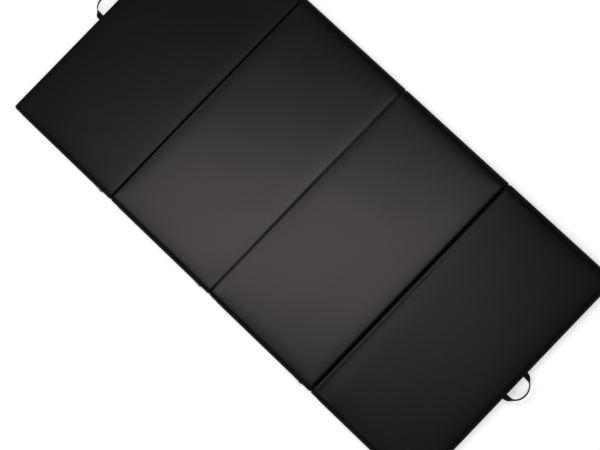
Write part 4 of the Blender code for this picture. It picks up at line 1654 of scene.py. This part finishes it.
@dataclass(frozen=True)
class Zip:
    """The closed zip in a panel's front wall: woven tape, coil, bed, end stops and hem."""

    panel: Panel
    length: float = 0.500
    tape_width: float = 0.024
    tape_thickness: float = 0.0006
    tape_end: float = 0.012  # beyond the coil
    tape_steps: tuple[int, int] = (59, 12)
    tape_fit: float = 0.0003
    pitch: float = 0.0014
    tooth: float = 0.00045  # radius of the coil's turns
    tooth_lap: float = 0.0004  # how far the two rows mesh
    tooth_lean: float = 0.14
    tooth_taper: tuple[float, float] = (0.4, 0.6)
    tooth_tuck: float = 0.3  # of its radius, inside the coil's edge
    chain_half: float = 0.003
    proud: float = 0.0008
    bed_inset: float = 0.0006
    bed_proud: float = 0.0001
    bed_depth: float = COVER + 0.0002
    bed_round: float = 0.0003
    stop_length: float = 0.003
    stop_margin: float = 0.0006  # how much wider than half the coil
    stop_proud: float = 0.00015  # beyond the coil
    stop_round: float = 0.0005
    hem_at: float = 0.0022  # from the slot's edges
    hem_probe: float = 0.001  # above and below, where the wall's lean is read
    hem_points: int = 80

    def wall_y(self, x: np.ndarray | float, height: float) -> np.ndarray | float:
        """How far in the front wall lies at places along it, from the panel's middle, and at a height."""
        share = x / (PANEL_LENGTH / 2 - CORNER_RADIUS)
        return FRONT_WALL.inset_at(height) + FRONT_WALL.draw_in * waist(height) * (1 - share**2)

    def tape(self) -> Object:
        """Makes the tape that lies behind the wall's slot.

        Returns:
            The tape.
        """
        centre, (along, across) = self.panel.centre_x, self.tape_steps
        half = self.length / 2 + self.tape_end
        x = np.linspace(centre - half, centre + half, along + 1)
        y = np.full(len(x), FRONT + COVER + self.tape_fit + self.tape_thickness / 2)
        line = np.column_stack([x, y, np.full(len(x), MID_HEIGHT)])
        upright = np.tile((0.0, 0.0, 1.0), (len(x), 1))
        strip = woven_strip(f"zip_tape_weave_{self.panel.number}", line, upright, self.tape_width,
                            self.tape_thickness, across)
        points = points_of(strip)
        points[:, 1] += [self.wall_y(u - centre, float(z)) for u, z in points[:, [0, 2]]]
        put_points(strip, points)
        dress(strip, self.panel.finishes.tape, Slot.ZIP_TAPE, self.panel.body)
        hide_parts(f"zip_tape_{self.panel.number}")
        return strip

    def coil(self) -> Object:
        """Makes the coil: two rows of turns that mesh in the middle.

        Returns:
            The coil.
        """
        span = self.chain_half + self.tooth_lap
        turn = tapered_rod(6, self.tooth, span, self.tooth_taper, lying=False)
        y = FRONT - self.proud + self.tooth
        places = []
        for side in (-1, 1):
            z = MID_HEIGHT + side * (self.chain_half - span / 2 - self.tooth * self.tooth_tuck)
            for step in range(int(self.length / self.pitch)):
                x = self.panel.centre_x - self.length / 2 + (step + 0.5 + 0.25 * side) * self.pitch
                lean = Matrix.Rotation(side * self.tooth_lean, 4, "Y")
                places.append(Matrix.Translation((x, y, z)) @ lean)
        coil = copies(f"zip_coil_{self.panel.number}", turn, places)
        dress(coil, self.panel.finishes.coil, Slot.ZIP_COIL, self.panel.body)
        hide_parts(f"zip_chain_{self.panel.number}")
        return coil

    def block(self, name: str, x: tuple[float, float], y: tuple[float, float], half: float,
              round_off: float) -> Object:
        """Makes a small block with rounded edges at mid-height.

        Args:
            name: name of the piece.
            x: where it starts and ends along the wall, from the panel's middle.
            y: how far it stands out from the wall, and how deep it goes.
            half: half its height.
            round_off: how wide its edges are rounded.

        Returns:
            The block.
        """
        low = Vector((self.panel.centre_x + x[0], FRONT - y[0], MID_HEIGHT - half))
        high = Vector((self.panel.centre_x + x[1], FRONT + y[1], MID_HEIGHT + half))
        item = primitive(name, bpy.ops.mesh.primitive_cube_add, size=1.0, location=(low + high) / 2,
                         scale=high - low)
        modify(item, "BEVEL", width=round_off, segments=3)
        apply_all(item)
        return item

    def bed_and_stops(self) -> list[Object]:
        """Makes the folded edge of the tape that the coil is sewn to, and the clamped stops at its ends.

        Returns:
            The bed and the two stops.
        """
        number, end = self.panel.number, self.length / 2
        bed = self.block(f"zip_bed_{number}", (-end, end), (self.bed_proud, self.bed_depth),
                         self.chain_half - self.bed_inset, self.bed_round)
        dress(bed, self.panel.finishes.coil, Slot.ZIP_COIL, self.panel.body)
        made = [bed]
        for side, start in (("left", -end - self.stop_length), ("right", end)):
            stop = self.block(f"zip_stop_{number}_{side}", (start, start + self.stop_length),
                              (self.proud + self.stop_proud, COVER), self.chain_half + self.stop_margin,
                              self.stop_round)
            dress(stop, self.panel.finishes.metal, Slot.ZIP_METAL, self.panel.body)
            made.append(stop)
        return made

    def hem(self) -> Object:
        """Sews a row of stitches above and below the slot.

        Returns:
            The rows.
        """
        rows = []
        offset = self.panel.slot_height / 2 + self.hem_at
        x = np.linspace(-self.panel.slot_half, self.panel.slot_half, self.hem_points)
        for height in (MID_HEIGHT - offset, MID_HEIGHT + offset):
            up, down = height + self.hem_probe, height - self.hem_probe
            lean = (FRONT_WALL.inset_at(up) - FRONT_WALL.inset_at(down)) / (2 * self.hem_probe)
            facing = Vector((0.0, -1.0, lean)).normalized()
            row = np.column_stack([self.panel.centre_x + x, FRONT + self.wall_y(x, height),
                                   np.full(len(x), height)])
            rows.append((row, np.tile(tuple(facing), (len(x), 1))))
        return Stitches().along(f"zip_stitches_{self.panel.number}", rows, self.panel.finishes.thread,
                                Slot.WALL_COVER, self.panel.body)

    def build(self) -> list[Object]:
        """Makes every part of the zip, and paints its slider and pull.

        Returns:
            The new pieces.
        """
        for node in (f"zip_slider_{self.panel.number}", f"zip_pull_{self.panel.number}"):
            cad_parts[node].data.materials.clear()
            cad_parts[node].data.materials.append(self.panel.finishes.metal)
        return [self.tape(), self.coil(), *self.bed_and_stops(), self.hem()]


# Studio


@dataclass(frozen=True)
class Softbox:
    """A rectangular lamp that nothing sees directly."""

    name: str
    place: Place
    size: tuple[float, float]
    power: float  # in watts
    turn: Place  # in radians

    def add(self) -> None:
        """Puts the lamp up."""
        lamp = bpy.data.lights.new(self.name, "AREA")
        lamp.shape = "RECTANGLE"
        lamp.size, lamp.size_y = self.size
        lamp.energy = self.power
        item = bpy.data.objects.new(self.name, lamp)
        item.location = self.place
        item.rotation_euler = self.turn
        item.visible_camera = False
        bpy.context.scene.collection.objects.link(item)


@dataclass(frozen=True)
class Studio:
    """The floor, the background, the lamps and the camera."""

    floor_size: float = 60.0
    floor_drop: float = 0.0006
    floor_glow: float = 0.45  # to the eye, so that the floor is white
    ambient: float = 0.35
    flag_size: float = 18.0
    flag_place: Place = (-0.7, -0.3, 3.6)
    key_place: Place = (-0.604, -0.12, 3.0)
    key_turn: float = math.radians(30.0)
    key_size: tuple[float, float] = (2.2, 0.85)
    key_power: float = 30.7
    fill_place: Place = (3.5, -5.0, 6.0)
    fill_size: tuple[float, float] = (4.0, 4.0)
    fill_power: float = 160.0
    lens: float = 153.83
    sensor: float = 36.0
    clip: tuple[float, float] = (0.1, 200.0)
    camera_place: Place = (2.6768, -0.5787, 10.4646)
    camera_right: Place = (0.70611, 0.69293, -0.14579)
    camera_up: Place = (-0.66563, 0.71977, 0.19712)
    camera_back: Place = (0.24154, -0.04215, 0.96948)

    def seen_directly(self, nodes: Nodes) -> Socket:
        """Tells what is seen from the light that falls on the object.

        Args:
            nodes: helper of the tree.

        Returns:
            The socket of 1 for what the camera, a reflection or glass sees, and 0 for that light.
        """
        path = nodes.add("LightPath")
        seen = nodes.math("MAXIMUM", path.outputs["Is Camera Ray"], path.outputs["Is Glossy Ray"])
        return nodes.math("MAXIMUM", seen, path.outputs["Is Transmission Ray"])

    def build_world(self) -> None:
        """Makes the white background and the soft light all round."""
        world = bpy.data.worlds.new("studio")
        bpy.context.scene.world = world
        world.use_nodes = True
        nodes = Nodes(world.node_tree)
        strength = nodes.ranged(self.seen_directly(nodes), 0.0, 1.0, self.ambient, 1.0)
        background = world.node_tree.nodes["Background"]
        nodes.feed(background, {"Color": colour(1.0, 1.0, 1.0), "Strength": strength})

    def build_floor(self) -> None:
        """Makes the plain pale floor, white to the eye, which keeps the object's shadow."""
        floor = primitive("studio_floor", bpy.ops.mesh.primitive_plane_add, size=self.floor_size,
                          location=(0.0, 0.0, -self.floor_drop))
        material, nodes, _ = blank_material("pale_floor")
        nodes.tree.nodes.clear()
        diffuse = nodes.add("BsdfDiffuse", {"Color": colour(0.86, 0.86, 0.86)})
        glow = nodes.add("Emission", {
            "Color": colour(1.0, 1.0, 1.0),
            "Strength": nodes.ranged(self.seen_directly(nodes), 0.0, 1.0, 0.0, self.floor_glow),
        })
        both = nodes.add("AddShader", {0: diffuse.outputs[0], 1: glow.outputs[0]})
        nodes.add("OutputMaterial", {"Surface": both.outputs[0]})
        floor.data.materials.append(material)

    def build_flag(self) -> None:
        """Makes the dark flag over the lamp, which only reflections see."""
        flag = primitive("studio_flag", bpy.ops.mesh.primitive_plane_add, size=self.flag_size,
                         location=self.flag_place)
        material, nodes, shader = blank_material("black_felt")
        nodes.feed(shader, {"Base Color": colour(0.01, 0.01, 0.01), "Roughness": 1.0,
                            "Specular IOR Level": 0.0})
        flag.data.materials.append(material)
        flag.visible_camera = flag.visible_diffuse = flag.visible_shadow = False
        flag.visible_transmission = False

    def build_camera(self) -> None:
        """Sets the camera where the photograph was taken from."""
        data = bpy.data.cameras.new("camera")
        data.lens = self.lens
        data.sensor_width = self.sensor
        data.clip_start, data.clip_end = self.clip
        item = bpy.data.objects.new("camera", data)
        axes = Matrix((self.camera_right, self.camera_up, self.camera_back)).transposed()
        item.matrix_world = Matrix.Translation(Vector(self.camera_place)) @ axes.to_4x4()
        bpy.context.scene.collection.objects.link(item)
        bpy.context.scene.camera = item

    def build(self) -> None:
        """Sets the whole studio up."""
        bpy.context.scene.view_settings.view_transform = "Standard"
        self.build_world()
        self.build_floor()
        self.build_flag()
        towards_mat = (-Vector(self.fill_place)).to_track_quat("-Z", "Y").to_euler()
        downwards = (0.0, 0.0, self.key_turn)
        Softbox("key_softbox", self.key_place, self.key_size, self.key_power, downwards).add()
        Softbox("fill_softbox", self.fill_place, self.fill_size, self.fill_power, tuple(towards_mat)).add()
        self.build_camera()


# The whole mat


def report(pieces: list[Object]) -> None:
    """Logs each new piece and its size."""
    for item in pieces:
        log.info("%s: %d faces", item.name, len(item.data.polygons))


def main() -> None:
    """Builds and dresses the mat, piece by piece."""
    logging.basicConfig(level=logging.INFO, format="%(message)s")
    Studio().build()
    finishes = Finishes()
    panels = [Panel(number, finishes) for number in range(1, PANEL_COUNT + 1)]
    for panel in panels:
        panel.sew_shell()
    for panel, moved in zip(panels, fill_panels(panels)):
        report([*panel.build(moved), *Zip(panel).build()])
    for hinge in range(1, PANEL_COUNT):
        report(HingeStrip(hinge, finishes).build())
    for end in MatEnd:
        report(CarryHandle(end, finishes).build())


if __name__ == "__main__":
    main()
